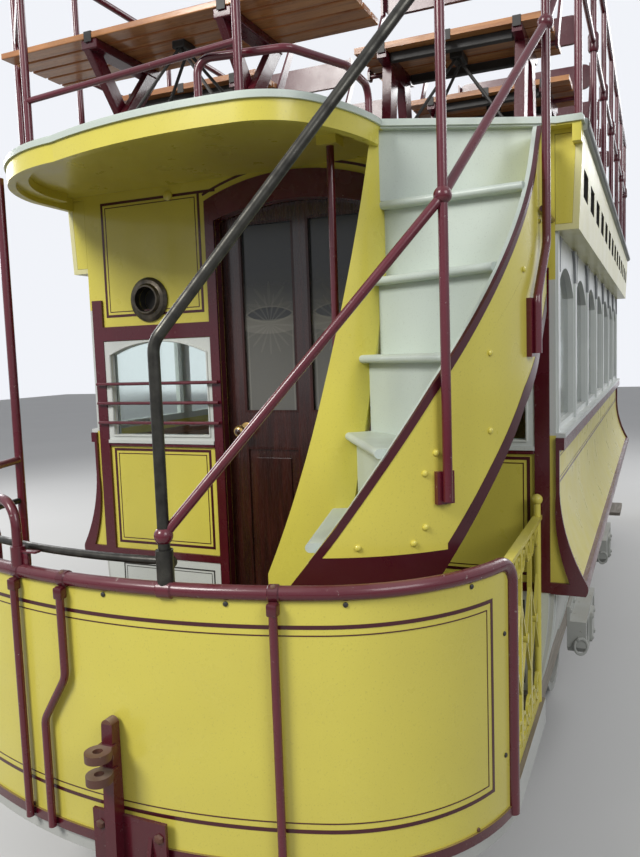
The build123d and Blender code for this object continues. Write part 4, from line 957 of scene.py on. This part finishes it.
# %% Bars, plates and heads
def bar(start, end, radius, sides=10):
    """A round bar between two points, its ends eased by a bevel."""
    start, end = Vector(start), Vector(end)
    run = end - start
    piece = begun(bpy.ops.mesh.primitive_cylinder_add, vertices=sides, radius=radius, depth=run.length,
                  location=(start + end) / 2, rotation=run.to_track_quat("Z", "Y").to_euler())
    return applied(piece, "BEVEL", width=radius * 0.25, segments=1, limit_method="ANGLE", angle_limit=1.2)


def plate(low, high, ease=0.001):
    """A flat block between two corners with eased edges."""
    low, high = Vector(low), Vector(high)
    piece = begun(bpy.ops.mesh.primitive_cube_add, size=1, location=(low + high) / 2)
    piece.scale = high - low
    bpy.ops.object.transform_apply(location=False, rotation=False, scale=True)
    return applied(piece, "BEVEL", width=ease, segments=2)


def pick_faces(piece, test):
    """Goes into edit mode with only the faces that pass a test selected."""
    chosen(piece)
    bpy.ops.object.mode_set(mode="EDIT")
    bpy.ops.mesh.select_mode(type="FACE")
    bpy.ops.mesh.select_all(action="DESELECT")
    bpy.ops.object.mode_set(mode="OBJECT")
    for face in piece.data.polygons:
        face.select = test(face)
    bpy.ops.object.mode_set(mode="EDIT")


def domed_head(radius, sides=12):
    """A bolt head that stands up Z: a short disc whose top is inset and drawn up twice."""
    piece = begun(bpy.ops.mesh.primitive_cylinder_add, vertices=sides, radius=radius, depth=radius * 0.5)
    pick_faces(piece, lambda face: face.normal.z > 0.9)
    for inset, rise in ((0.28, 0.26), (0.34, 0.12)):
        bpy.ops.mesh.inset(thickness=radius * inset)
        bpy.ops.transform.translate(value=(0, 0, radius * rise))
    bpy.ops.object.mode_set(mode="OBJECT")
    return piece


def spread(pattern, places):
    """Copies one shape to many places, each a point and the way its top faces, and joins them."""
    copies = []
    for point, facing in places:
        facing = Vector(facing)
        upright = abs(facing.x) + abs(facing.y) < 0.001
        turn = Matrix.Identity(4) if upright else facing.to_track_quat("Z", "Y").to_matrix().to_4x4()
        one = pattern.copy()
        one.data = pattern.data.copy()
        one.data.transform(Matrix.Translation(point) @ turn)
        bpy.context.scene.collection.objects.link(one)
        copies.append(one)
    bpy.data.objects.remove(pattern)
    return joined(copies)


def head_on(spot, place, z, out):
    """The place of a head on a bent sheet, and the way that the sheet faces there."""
    return spot(place, z, out), spot(place, z, 0.1) - spot(place, z, 0)


facing = head_on(dash_spot, 0, 1, 0)[1].normalized()
print("bars, plates and heads ready, the dash's middle faces", [round(c, 3) for c in facing])

# %% Dash bolts
RAIL_RUNS = (-0.98, -0.66, -0.017, 0.33, 0.624, 0.968)
FOOT_RUNS = (-0.98, -0.66, -0.34, 0.10, 0.42, 0.68, 0.98)
bolts = [head_on(dash_spot, run, 1.222, 0.001) for run in RAIL_RUNS]
bolts += [head_on(dash_spot, side * 1.110, z, 0.001) for side in (-1, 1) for z in (0.72, 1.06)]
at_both_ends([spread(domed_head(0.0065), bolts)], "dash_bolts", black_iron, smooth=True)
foot_bolts = [head_on(dash_spot, run, 0.5675, 0.0015) for run in FOOT_RUNS]
at_both_ends([spread(domed_head(0.0055), foot_bolts)], "dash_foot_bolts", rusty, smooth=True)

# %% Dash clips, saddle and latch bracket
RAIL_Z, RAIL_R = 1.250, 0.019
STAY_RUNS = [math.radians(turn) * FRONT_R for turn in (-11.2, -5.0, 15.0)]
SADDLE_RUN = math.asin(0.170 / FRONT_R) * FRONT_R


def sleeve(run, half_length, wall, sides):
    """A sleeve round the dash rail."""
    middle, facing = head_on(dash_spot, run, RAIL_Z, -0.003)
    along = Vector((0, 0, 1)).cross(facing).normalized() * half_length
    return bar(middle - along, middle + along, RAIL_R + wall, sides)


clips = []
for run in STAY_RUNS:
    block = dash_spot(run, RAIL_Z - 0.034, 0.018)
    clips += [sleeve(run, 0.017, 0.0035, 18),
              plate(block - Vector((0.014, 0.014, 0.016)), block + Vector((0.012, 0.014, 0.016)), 0.005)]
at_both_ends(clips, "dash_clips", maroon, smooth=True)
fittings = [sleeve(SADDLE_RUN, 0.024, 0.0045, 20),
            plate((3.3150, -0.3170, 1.3020), (3.3370, -0.2640, 1.3085), 0.002),
            plate((3.3180, -0.3150, 1.2640), (3.3340, -0.2960, 1.3030), 0.003)]
at_both_ends(fittings, "dash_rail_fittings", rail_maroon, smooth=True)
clip_bolts = [(dash_spot(run, RAIL_Z + 0.018, 0.006), (0.5, 0, 0.9)) for run in STAY_RUNS]
at_both_ends([spread(domed_head(0.008, 6), clip_bolts)], "dash_clip_bolts", rusty)

# %% [markdown]
# ## The outer string of the stair
#
# The deep board outside the stair is a band wrapped on a drum. It has a maroon border along its top and lower
# edge, and below rail height it is maroon all over. The strips follow the board's own edges, given as a table
# of angles round the drum, and past a quarter turn the board runs straight back to the body. A capping of the
# same thickness stands on the board and brings its top edge up to the nosings.

# %% The string's edges
NOSING_TOP, STEP_RISE, STEP_TURN, TOP_TURN = 2.55, 0.24625, 17.2, 100
STRING_TABLE = [-25, -8, 10, 28, 44, 60, 76, 90, 98.6, 106.8]
STRING_END = 106.6


def nosing_z(angle):
    """Height of the line through the nosings."""
    return NOSING_TOP - STEP_RISE * (TOP_TURN - angle) / STEP_TURN


def string_edges(angle):
    """Heights of the string's lower and top edge, straight between the table's angles."""
    angle = min(max(angle, STRING_TABLE[0]), STRING_TABLE[-1])
    for a0, a1 in zip(STRING_TABLE, STRING_TABLE[1:]):
        if angle <= a1:
            break
    heights = []
    for a in (a0, a1):
        low = nosing_z(a) - 0.550 - 0.0048 * max(0, a - 73)
        heights.append((low, nosing_z(a) - 0.045 - 0.0034 * max(0, a - 36)))
    share = (angle - a0) / (a1 - a0)
    low, top = (heights[0][i] * (1 - share) + heights[1][i] * share for i in (0, 1))
    return max(low, 0.580), top


def string_spot(angle, z, out=0.0006):
    """A point on the outside of the string."""
    if angle <= 90:
        turn = math.radians(angle)
        return Vector((DRUM_X + (DRUM_R + out) * math.cos(turn), DRUM_Y + (DRUM_R + out) * math.sin(turn), z))
    return Vector((DRUM_X - math.radians(angle - 90) * DRUM_R, DRUM_Y + DRUM_R + out, z))


print("the string climbs from", string_edges(-25)[0], "to", round(string_edges(STRING_END)[1], 3), "m")


# %% String capping
CAP_START, CAP_TURN, CAP_WALL, CAP_OUT = 20.5, 86.1, 0.0252, -0.0128


def share_of(angle, first, length):
    """How far an angle is through a range, from 0 to 1."""
    return min(max((angle - first) / length, 0.0), 1.0)


def cap_top(angle):
    """Height of the top of the capping that brings the string up to the nosings."""
    return min(nosing_z(angle) - (0.045 - 0.027 * share_of(angle, 20.0, 24.0)), 2.500)


def cap_spot(u, v):
    """A point on the middle of the capping's thickness."""
    angle = CAP_START + CAP_TURN * u
    low = string_edges(angle)[1] - 0.003
    return string_spot(angle, low + (max(cap_top(angle), low + 0.001) - low) * v, out=CAP_OUT)


at_both_ends([strip(70, cap_spot, CAP_WALL)], "string_capping", string_paint)

# %% String borders
LOW_BORDER, BAND_TOP = 0.060, 1.285


def string_strip(a0, a1, low, high):
    """A strip between two heights that are worked out at each angle."""
    def place(u, v):
        angle = a0 + (a1 - a0) * u
        return string_spot(angle, low(angle) * (1 - v) + high(angle) * v)
    return strip(round((a1 - a0) * 0.75), place)


def board_low(angle):
    """Height of the lowest paint on the board."""
    return string_edges(angle)[0] + 0.001


def board_top(angle):
    """Height of the board's top edge with its capping."""
    return max(string_edges(angle)[1], cap_top(angle))


def top_border(angle):
    """Width of the top border, which narrows up the stair."""
    return 0.034 - 0.018 * share_of(angle, 52.0, 38.0)


borders = [
    string_strip(14.0, STRING_END, lambda a: board_top(a) - top_border(a), lambda a: board_top(a) + 0.0004),
    string_strip(47.0, STRING_END, board_low, lambda a: string_edges(a)[0] + LOW_BORDER),
    string_strip(-24.6, 48.2, board_low,
                 lambda a: max(string_edges(a)[0] + 0.002, min(BAND_TOP, string_edges(a)[1] - 0.001))),
]
at_both_ends(borders, "string_borders", lining)

# %% String bolts
STRING_BOLTS = [(44.3, 1.549), (41.4, 1.496), (60.7, 1.806), (79.6, 1.845), (60.4, 1.593), (25.3, 1.310),
                (38.3, 1.312), (41.3, 1.352), (76.0, 2.04), (92.0, 2.20), (90.0, 1.98)]
PLATE_BOLTS = [(46, 1.43), (46, 1.475), (80, 1.81), (80, 1.90)]
heads = [head_on(string_spot, angle, z, 0.002) for angle, z in STRING_BOLTS]
at_both_ends([spread(domed_head(0.0085), heads)], "string_bolts", yellow, smooth=True)
plate_heads = [head_on(string_spot, angle, z, 0.012) for angle, z in PLATE_BOLTS]
at_both_ends([spread(domed_head(0.010), plate_heads)], "string_plate_bolts", maroon, smooth=True)

# %% [markdown]
# ## Lining on the bulkhead
#
# Each yellow panel beside the doorway has a broad line with a fine one inside it, and the white panel at the
# foot has the same in near black. The notice panels are left bare. A second broad line follows the arch over
# the door. A straight line is a plane, inset, whose middle is taken out, so its corners are mitred.

# %% Painted frames
BULKHEAD_X, FACE_X, FINE_INSET = 2.2000, 2.2006, 0.021
DOOR_ARCH = {"half": 0.370, "spring": 2.440, "rise": 0.076}


def painted_frame(centre, turn, size, width, thickness=0.0008):
    """A painted line round a rectangle: a plane, inset, with its middle taken out."""
    piece = begun(bpy.ops.mesh.primitive_plane_add, size=1, location=centre, rotation=turn)
    piece.scale = (*size, 1)
    bpy.ops.object.transform_apply(location=False, rotation=False, scale=True)
    bpy.ops.object.mode_set(mode="EDIT")
    bpy.ops.mesh.select_all(action="SELECT")
    bpy.ops.mesh.inset(thickness=width)
    bpy.ops.mesh.delete(type="FACE")
    bpy.ops.object.mode_set(mode="OBJECT")
    return applied(piece, "SOLIDIFY", thickness=thickness, offset=0)


def end_frame(x, ys, zs, width, thickness=0.0008):
    """A painted frame that faces along the car."""
    (y0, y1), (z0, z1) = ys, zs
    middle = (x, (y0 + y1) / 2, (z0 + z1) / 2)
    return painted_frame(middle, (0, math.pi / 2, 0), (z1 - z0, y1 - y0), width, thickness)


def beside(side, near, far):
    """From where to where a panel reaches across the car, on one side of the doorway."""
    return sorted((side * near, side * far))


def arch(half, spring, rise):
    """An arch over an opening: its radius, the height of its middle, and half of its angle."""
    radius = (half * half + rise * rise) / (2 * rise)
    return radius, spring + rise - radius, math.asin(half / radius)


print("the arch over the door has a radius of", round(arch(**DOOR_ARCH)[0], 3), "m")

# %% Bulkhead lining
broad, fine = [], []
for side in (-1, 1):
    for z0, z1 in ((2.005, 2.486), (1.020, 1.440)):
        y0, y1 = beside(side, 0.396, 0.888)
        broad.append(end_frame(FACE_X, (y0, y1), (z0, z1), 0.011))
        inner = (y0 + FINE_INSET, y1 - FINE_INSET), (z0 + FINE_INSET, z1 - FINE_INSET)
        fine.append(end_frame(FACE_X, *inner, 0.0035))
arch_r, arch_z, arch_turn = arch(**DOOR_ARCH)


def arch_spot(u, v):
    """A point on the line that follows the arch over the door."""
    turn, r = arch_turn * (2 * u - 1), arch_r + 0.024 + 0.010 * v
    return Vector((FACE_X, r * math.sin(turn), arch_z + r * math.cos(turn)))


broad.append(strip(36, arch_spot))
for side in (-1, 1):
    y0, y1 = beside(side, 0.322, 0.397)
    broad.append(plate((FACE_X - 0.0004, y0, 2.475), (FACE_X + 0.0004, y1, 2.486), 0.0001))
at_both_ends(broad + fine, "bulkhead_lining", lining)

# %% Foot panels, bosses and sills
foot_lines = []
for side in (-1, 1):
    for inset, width in ((0.028, 0.006), (0.042, 0.0025)):
        ys = beside(side, 0.372 + inset, 0.895 - inset)
        foot_lines.append(end_frame(2.2086, ys, (0.600 + inset, 0.960 - inset), width))
at_both_ends(foot_lines, "foot_panel_lining", dark_line)
bosses = [((BULKHEAD_X + 0.002, side * 0.542, 2.482), (1, 0, 0)) for side in (-1, 1)]
at_both_ends([spread(domed_head(0.020, 16), bosses)], "bulkhead_bosses", yellow, smooth=True)
sills = []
for side in (-1, 1):
    y0, y1 = beside(side, 0.373, 0.904)
    sills.append(plate((2.2003, y0, 1.4495), (2.2115, y1, 1.4635), 0.004))
at_both_ends(sills, "sill_mouldings", maroon)

# %% [markdown]
# ## Beads round the end windows
#
# A half round bead holds each bulkhead pane. It runs up one side, over the flat arch and down the other. A
# curve with a round bevel would make it too, but short bars along a path of points keep its corners square.

# %% End window beads
beads = []
half, foot, spring, rise = 0.244, 1.496, 1.845, 0.054
bead_r, bead_z, bead_turn = arch(half, spring, rise)
turns = [bead_turn * (k / 8 - 1) for k in range(1, 16)]
over_arch = [(bead_r * math.sin(turn), bead_z + bead_r * math.cos(turn)) for turn in turns]
path = [(-half, foot), (-half, spring), *over_arch, (half, spring), (half, foot), (-half, foot)]
for middle in (-0.635, 0.635):
    for (ya, za), (yb, zb) in zip(path, path[1:]):
        beads.append(bar((2.209, middle + ya, za), (2.209, middle + yb, zb), 0.0045, sides=6))
at_both_ends(beads, "end_window_beads", white)

# %% [markdown]
# ## Door furniture
#
# The sliding leaf has a moulding round each light and each sunk panel, a raised field in the panel, and a
# brass knob on a round rose. The mouldings stay inside the leaf's pocket, so the leaf still slides clear of
# the bulkhead. They ride on the door, so they move with it.

# %% Door mouldings
mouldings = []
for y0, y1 in ((-0.245, -0.020), (0.052, 0.280)):
    mouldings.append(end_frame(2.1515, (y0 - 0.010, y1 + 0.010), (0.790, 1.450), 0.010, 0.002))
    mouldings.append(end_frame(2.1515, (y0 - 0.009, y1 + 0.009), (1.591, 2.349), 0.010, 0.002))
    mouldings.append(plate((2.1440, y0 + 0.034, 0.834), (2.1510, y1 - 0.034, 1.406), 0.0012))
at_both_ends(mouldings, "door_mouldings", matt_mahogany, body="door_a")

# %% Door knob
KNOB_Y, KNOB_Z = -0.250, 1.520


def disc(radius, depth, location, sides, ease):
    """A disc that faces along the car, its rim eased."""
    piece = begun(bpy.ops.mesh.primitive_cylinder_add, vertices=sides, radius=radius, depth=depth,
                  location=location, rotation=(0, math.pi / 2, 0))
    return applied(piece, "BEVEL", width=ease, segments=2, limit_method="ANGLE")


rose = disc(0.030, 0.004, (2.1545, KNOB_Y, KNOB_Z), 24, 0.0015)
knob = begun(bpy.ops.mesh.primitive_uv_sphere_add, segments=24, ring_count=14, radius=0.0225,
             location=(2.214, KNOB_Y, KNOB_Z))
knob.scale = (0.86, 1.12, 1.12)
neck = bar((2.156, KNOB_Y, KNOB_Z), (2.202, KNOB_Y, KNOB_Z), 0.0105, sides=16)
at_both_ends([knob, rose, neck], "door_knob", brass, body="door_a", smooth=True)

# %% [markdown]
# ## The lamp hole
#
# A black disc closes the hole behind the bell ring, a painted shade for the dark inside of the hole, so no
# daylight shows through it.

# %% Lamp hole shade
# a black disc behind the bell ring, painted shade for the dark lamp hole
at_both_ends([disc(0.064, 0.008, (2.1555, -0.660, 2.070), 32, 0.002)], "lamp_hole_shade", black_iron)

# %% [markdown]
# ## Springs
#
# The CAD model holds each pair of axle box springs as plain turned bodies. Here each is a coil: a grid rolled
# round a helix, which needs no curve object. One is made and copied to the eight places, and it stands in for
# the CAD springs.

# %% Coil springs
COIL_R, WIRE_R, TURNS = 0.0265, 0.0072, 4.6
SPRING_DX, SPRING_Y = 0.190, 0.952


def rolled(along, around, place):
    """A closed round shape: a grid rolled up by place(along, turn), its seam merged and its ends filled."""
    piece = begun(bpy.ops.mesh.primitive_grid_add, x_subdivisions=along, y_subdivisions=around, size=1)
    for vertex in piece.data.vertices:
        vertex.co = place(vertex.co.x + 0.5, (vertex.co.y + 0.5) * math.tau)
    chosen(piece)
    bpy.ops.object.mode_set(mode="EDIT")
    bpy.ops.mesh.select_all(action="SELECT")
    bpy.ops.mesh.remove_doubles(threshold=0.00005)
    bpy.ops.mesh.select_all(action="SELECT")
    bpy.ops.mesh.fill_holes(sides=0)
    bpy.ops.mesh.select_all(action="SELECT")
    bpy.ops.mesh.normals_make_consistent(inside=False)
    bpy.ops.object.mode_set(mode="OBJECT")
    return piece


def coil(u, turn):
    """A point on the coil's wire."""
    angle = u * TURNS * math.tau
    rise = 0.3635 + 0.099 * u
    out = COIL_R + WIRE_R * math.cos(turn)
    return Vector((out * math.cos(angle), out * math.sin(angle), rise + WIRE_R * math.sin(turn)))


places = [((x + dx, y, 0), (0, 0, 1)) for x in (-WHEEL_X, WHEEL_X) for dx in (-SPRING_DX, SPRING_DX)
          for y in (-SPRING_Y, SPRING_Y)]
springs = settled(spread(rolled(92, 8, coil), places), "coil_springs", spring_steel, smooth=True)
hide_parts("axle_springs")
print("springs:", len(places), "faces:", len(springs.data.polygons))

# %% [markdown]
# ## Deck seats
#
# The slats are varnished, the splayed legs are painted. Iron straps wrap the slats over each leg, and thin
# rods brace each seat down to the deck. They are modelled once for one seat, then copied to the twelve seats.

# %% Seat straps and braces
SEAT_PITCH, SEAT_SHIFT, SEAT_HALF, SEAT_Y = 0.705, 0.060, 0.1972, 0.575
seats = [(((i - 2.5) * SEAT_PITCH + SEAT_SHIFT, 0, 0), (0, 0, 1)) for i in range(6)]


def strap(x0, x1, y, half):
    """An iron strap over the slats, with its two ends turned down."""
    shapes = [plate((x0, y - half, 2.9795), (x1, y + half, 2.9825), 0.001)]
    for x in (x0, x1 - 0.003):
        shapes.append(plate((x, y - half, 2.9450), (x + 0.003, y + half, 2.9815), 0.001))
    return shapes


straps = [shape for y in (0.323, SEAT_Y, 0.827) for shape in strap(-SEAT_HALF, SEAT_HALF, y, 0.015)]
strap_set = joined(straps)
braces = [plate((-0.050, 0.550, 2.930), (0.050, 0.600, SLAT_FOOT), 0.004)]
for x in (-0.128, 0.128):
    for y in (0.346, 0.804):
        braces.append(bar((x * 0.25, SEAT_Y, 2.938), (x, y, 2.600), 0.006, sides=8))
braces += [plate((x, 0.345, 2.924), (x + 0.030, 0.805, SLAT_FOOT), 0.003) for x in (-0.150, 0.120)]
brace_set = joined(braces)
on_both_sides([spread(strap_set, seats)], "seat_straps", black_iron)
on_both_sides([spread(brace_set, seats)], "seat_braces", black_iron)

# %% [markdown]
# ## The bench on the canopy
#
# In front of the rows a longer bench stands across the canopy, on two trestles whose boards cross. Each board
# is a cube drawn out to its size, turned to its slope and eased with a bevel.

# %% Slats of the canopy bench
BENCH_X, BENCH_YS, TRESTLE_YS = (2.222, 2.612), (-0.975, 0.385), (-0.567, -0.022)
BENCH_MIDDLE_X = 2.417
slats = []
for k in range(5):
    x = BENCH_X[0] + 0.0804 * k
    slats.append(plate((x, BENCH_YS[0], 2.958), (x + 0.0684, BENCH_YS[1], 2.980), 0.003))
at_both_ends(slats, "canopy_bench_slats", bench_slats)


# %% Trestles and irons of the canopy bench
def slanted(start, end, y, width, thick):
    """A board from one point of the (x, z) plane to another."""
    run = Vector((end[0] - start[0], 0, end[1] - start[1]))
    middle = ((start[0] + end[0]) / 2, y, (start[1] + end[1]) / 2)
    piece = begun(bpy.ops.mesh.primitive_cube_add, size=1, location=middle,
                  rotation=(0, math.atan2(run.x, run.z), 0))
    piece.scale = (thick, width, run.length)
    bpy.ops.object.transform_apply(location=False, rotation=False, scale=True)
    return applied(piece, "BEVEL", width=0.004, segments=2)


trestles = []
for y in TRESTLE_YS:
    trestles.append(slanted((2.585, 2.948), (2.262, 2.556), y - 0.014, 0.028, 0.062))
    trestles.append(slanted((2.249, 2.948), (2.572, 2.556), y + 0.016, 0.028, 0.062))
    trestles.append(plate((2.226, y - 0.034, 2.924), (2.608, y + 0.034, SLAT_FOOT), 0.004))
at_both_ends(trestles, "canopy_bench_trestles", maroon)
irons = [plate((x, y - 0.016, 2.946), (x + 0.003, y + 0.016, 2.9815), 0.001)
         for x in (BENCH_X[0] - 0.003, BENCH_X[1]) for y in TRESTLE_YS]
irons += [plate((BENCH_X[0] - 0.003, y - 0.016, 2.9798), (BENCH_X[1] + 0.003, y + 0.016, 2.9825), 0.001)
          for y in TRESTLE_YS]
irons.append(plate((2.377, -0.320, 2.930), (2.457, -0.268, SLAT_FOOT), 0.004))
for y in (-0.545, -0.044):
    for x in (2.300, 2.534):
        start = (BENCH_MIDDLE_X + (x - BENCH_MIDDLE_X) * 0.2, -0.294, 2.938)
        irons.append(bar(start, (x, y, 2.610), 0.006, sides=8))
at_both_ends(irons, "canopy_bench_irons", black_iron)

# %% [markdown]
# ## Collars on the deck rails
#
# Where the middle rail crosses a post, the post has a turned collar with three rings, and each post stands on
# a round flange. Both are modelled once and copied. The rings are raised from the cylinder's side after it is
# cut across by bisect.

# %% Rail collars and flanges
def turned_collar(radius, length):
    """A turned collar about Z: a cylinder with three rings raised from its side."""
    piece = begun(bpy.ops.mesh.primitive_cylinder_add, vertices=16, radius=radius, depth=length)
    for share in (-0.36, -0.22, -0.07, 0.07, 0.22, 0.36):
        bpy.ops.object.mode_set(mode="EDIT")
        bpy.ops.mesh.select_all(action="SELECT")
        bpy.ops.mesh.bisect(plane_co=(0, 0, length * share), plane_no=(0, 0, 1))
        bpy.ops.object.mode_set(mode="OBJECT")
    for share in (-0.29, 0.0, 0.29):
        pick_faces(piece, lambda face: abs(face.center.z - length * share) < length * 0.06
                   and abs(face.normal.z) < 0.5)
        bpy.ops.transform.resize(value=(1.22, 1.22, 1.0))
        bpy.ops.object.mode_set(mode="OBJECT")
    return piece


POST_Y = 1.040
post_xs = [0.7 * (i - 3) for i in range(7)]
for pattern, z, name in ((turned_collar(0.0185, 0.075), 3.060, "rail_collars"),
                         (domed_head(0.030, 16), 2.5525, "rail_feet")):
    places = [((x, POST_Y, z), (0, 0, 1)) for x in post_xs]
    on_both_sides([spread(pattern, places)], name, maroon, smooth=True)

# %% [markdown]
# ## Vents in the letter boards
#
# The slanted slots over the windows look black, because the space behind them is dark. A thin black board
# behind them is painted shade for that dark space. The boards' hollow ends are closed by yellow end pieces,
# whose outer edge leans out as the board does.

# %% Vent backs, a painted shade
# a thin black board behind the vents, painted shade for the dark space behind them
on_both_sides([plate((-2.186, 1.0060, 2.300), (2.186, 1.0100, 2.430), 0.001)], "vent_shade_backs", black_iron)

# %% Ends of the letter boards
caps = []
for side in (-1, 1):
    y0, y1 = beside(side, 0.9760, 1.0200)
    cap = plate((2.1880, y0, 2.2210), (2.1996, y1, 2.5085), 0.0006)
    for vertex in cap.data.vertices:
        if abs(vertex.co.y + cap.location.y) > 1.0:
            vertex.co.y += side * (0.0094 + 0.0414 * (vertex.co.z + cap.location.z - 2.22))
    caps.append(cap)
at_both_ends(caps, "letterboard_ends", yellow)

# %% [markdown]
# ## Window brackets
#
# Each window head is closed at its two top corners by a small quarter bracket, painted grey. It is a strip
# between the corner and an arc, given a wall by Solidify.

# %% Window brackets
WINDOW_PITCH, PILLAR_HALF = 0.617, 0.027
PILLAR_XS = [(i - 3.5) * WINDOW_PITCH for i in range(8)]


def bracket(x, side):
    """A quarter bracket in a window's top corner."""
    def place(u, v):
        turn = math.radians(90 * u)
        arc = Vector((side * 0.095 * (1 - math.sin(turn)), 0, -0.120 * (1 - math.cos(turn))))
        return Vector((x, 0, 2.190)) + arc * v + Vector((0, 0.9800, 0))
    return strip(10, place, 0.010)


brackets = []
for x in PILLAR_XS:
    if x < PILLAR_XS[-1]:
        brackets.append(bracket(x + PILLAR_HALF, 1))
    if x > PILLAR_XS[0]:
        brackets.append(bracket(x - PILLAR_HALF, -1))
on_both_sides(brackets, "window_brackets", shade_grey)

# %% [markdown]
# ## Lining on the sides
#
# The waist panels have a broad and a fine maroon line between the mouldings, and upright fillets divide the
# rocker under each pillar.

# %% Waist lining
def side_frame(x1, z0, z1, width):
    """A painted frame on the flat of a side panel, as far back as it reaches forward."""
    return painted_frame((0, 0.9756, (z0 + z1) / 2), (-math.pi / 2, 0, 0), (2 * x1, z1 - z0), width)


waist = [side_frame(2.170, 1.336, 1.450, 0.008), side_frame(2.153, 1.353, 1.433, 0.003)]
on_both_sides(waist, "waist_lining", lining)

# %% Rocker fillets
ROCKER_Y, ROCKER_Z = (0.905, 0.950, 0.966), (0.600, 0.775, 0.962)


def rocker_spot(share):
    """The place across and up of a point on the rocker panel's outside, from its foot up."""
    spot = []
    for foot, middle, top in (ROCKER_Y, ROCKER_Z):
        pull = 2 * middle - (foot + top) / 2
        spot.append(foot * (1 - share) ** 2 + pull * 2 * share * (1 - share) + top * share ** 2)
    return spot


def fillet(x):
    """An upright fillet on the rocker panel."""
    def place(u, v):
        y, z = rocker_spot(u)
        return Vector((x - 0.012 + 0.024 * v, y + 0.002, z))
    return strip(14, place, 0.006)


on_both_sides([fillet(max(-2.185, min(2.185, x))) for x in PILLAR_XS], "rocker_fillets", white)

# %% [markdown]
# ## Fittings on the axle guards
#
# Each casting is bolted to the frame, and a lifting ring hangs from one side of it.

# %% Axle guard bolts and rings
guard_heads, rings = [], []
for x in (-WHEEL_X, WHEEL_X):
    guard_heads += [((x + dx, 0.915, 0.535), (0, 1, 0)) for dx in (-0.262, -0.10, 0.10, 0.262)]
    guard_heads += [((x + dx, 1.0005, z), (0, 1, 0)) for dx in (-0.05, 0.05) for z in (0.335, 0.445)]
    ring = begun(bpy.ops.mesh.primitive_torus_add, major_radius=0.030, minor_radius=0.006, major_segments=24,
                 minor_segments=8, location=(x + 0.296, 0.965, 0.372), rotation=(0, math.pi / 2, 0.35))
    bpy.ops.transform.resize(value=(1, 1, 1.3))
    rings += [ring, bar((x + 0.270, 0.955, 0.408), (x + 0.312, 0.955, 0.408), 0.008)]
on_both_sides([spread(domed_head(0.013, 6), guard_heads)], "guard_bolts", iron_grey)
on_both_sides(rings, "guard_rings", iron_grey, smooth=True)

# %% [markdown]
# ## Coupling bolts
#
# The base plate of the coupling is held by four bolts that have gone rusty.

# %% Coupling bolts
heads = [((3.3845, y, z), (1, 0, 0)) for y in (-0.055, 0.130) for z in (0.46, 0.60)]
at_both_ends([spread(domed_head(0.014, 6), heads)], "coupling_bolts", rusty)

# %% [markdown]
# ## Floor, world and lamps
#
# A plain pale floor and soft light. The world is white to the eye, in gloss and through glass, and a plainer
# grey for lighting, so that pale paint doesn't clip.

# %% Floor
def shown(tree):
    """A mask that is one for what shows straight on, in gloss and through glass."""
    rays = node(tree, "ShaderNodeLightPath").outputs
    mirrored = maths(tree, "MAXIMUM", rays["Is Glossy Ray"], rays["Is Transmission Ray"])
    return maths(tree, "MAXIMUM", rays["Is Camera Ray"], mirrored)


floor = begun(bpy.ops.mesh.primitive_plane_add, size=60, location=(0, 0, 0))
floor.name = "floor"
floor_paint, tree, shader = new_material("studio floor")
place = node(tree, "ShaderNodeTexCoord").outputs["Object"]
pale = mixed(tree, noise(tree, place, 0.6, 4.0), (0.60, 0.60, 0.59, 1), (0.66, 0.66, 0.65, 1))
tree.links.new(mixed(tree, shown(tree), (0.16, 0.16, 0.155, 1), pale), shader.inputs["Base Color"])
shader.inputs["Roughness"].default_value = 0.8
floor.data.materials.append(floor_paint)
print("floor laid")

# %% World
world = bpy.data.worlds.new("studio")
bpy.context.scene.world = world
world.use_nodes = True
tree = world.node_tree
backdrop = tree.nodes["Background"]
backdrop.inputs["Color"].default_value = (0.93, 0.95, 1.0, 1)
tree.links.new(between(tree, shown(tree), 0.0, 1.0, 0.34, 0.95), backdrop.inputs["Strength"])
print("world ready")


# %% Lamps
def soft_lamp(name, place, aim, size, watts, tint=(1, 1, 1)):
    """A square area lamp that looks at a point."""
    light = bpy.data.lights.new(name, "AREA")
    light.shape, light.size, light.energy, light.color = "SQUARE", size, watts, tint
    lamp = bpy.data.objects.new(name, light)
    bpy.context.scene.collection.objects.link(lamp)
    lamp.location = place
    lamp.rotation_mode = "QUATERNION"
    lamp.rotation_quaternion = (Vector(aim) - Vector(place)).to_track_quat("-Z", "Y")


soft_lamp("key lamp", (8.5, -2.5, 6.5), (2.8, 0.2, 1.2), 2.6, 520, (1.0, 0.98, 0.94))
soft_lamp("stair lamp", (6.0, 5.5, 5.0), (2.6, 0.6, 1.6), 3.0, 170)
soft_lamp("far lamp", (-7.0, 4.0, 6.0), (-1.0, 0.0, 1.5), 4.0, 300)
soft_lamp("left lamp", (-1.0, -8.0, 5.0), (0.0, 0.0, 1.5), 4.0, 280)
print("lamps:", len(bpy.data.lights))
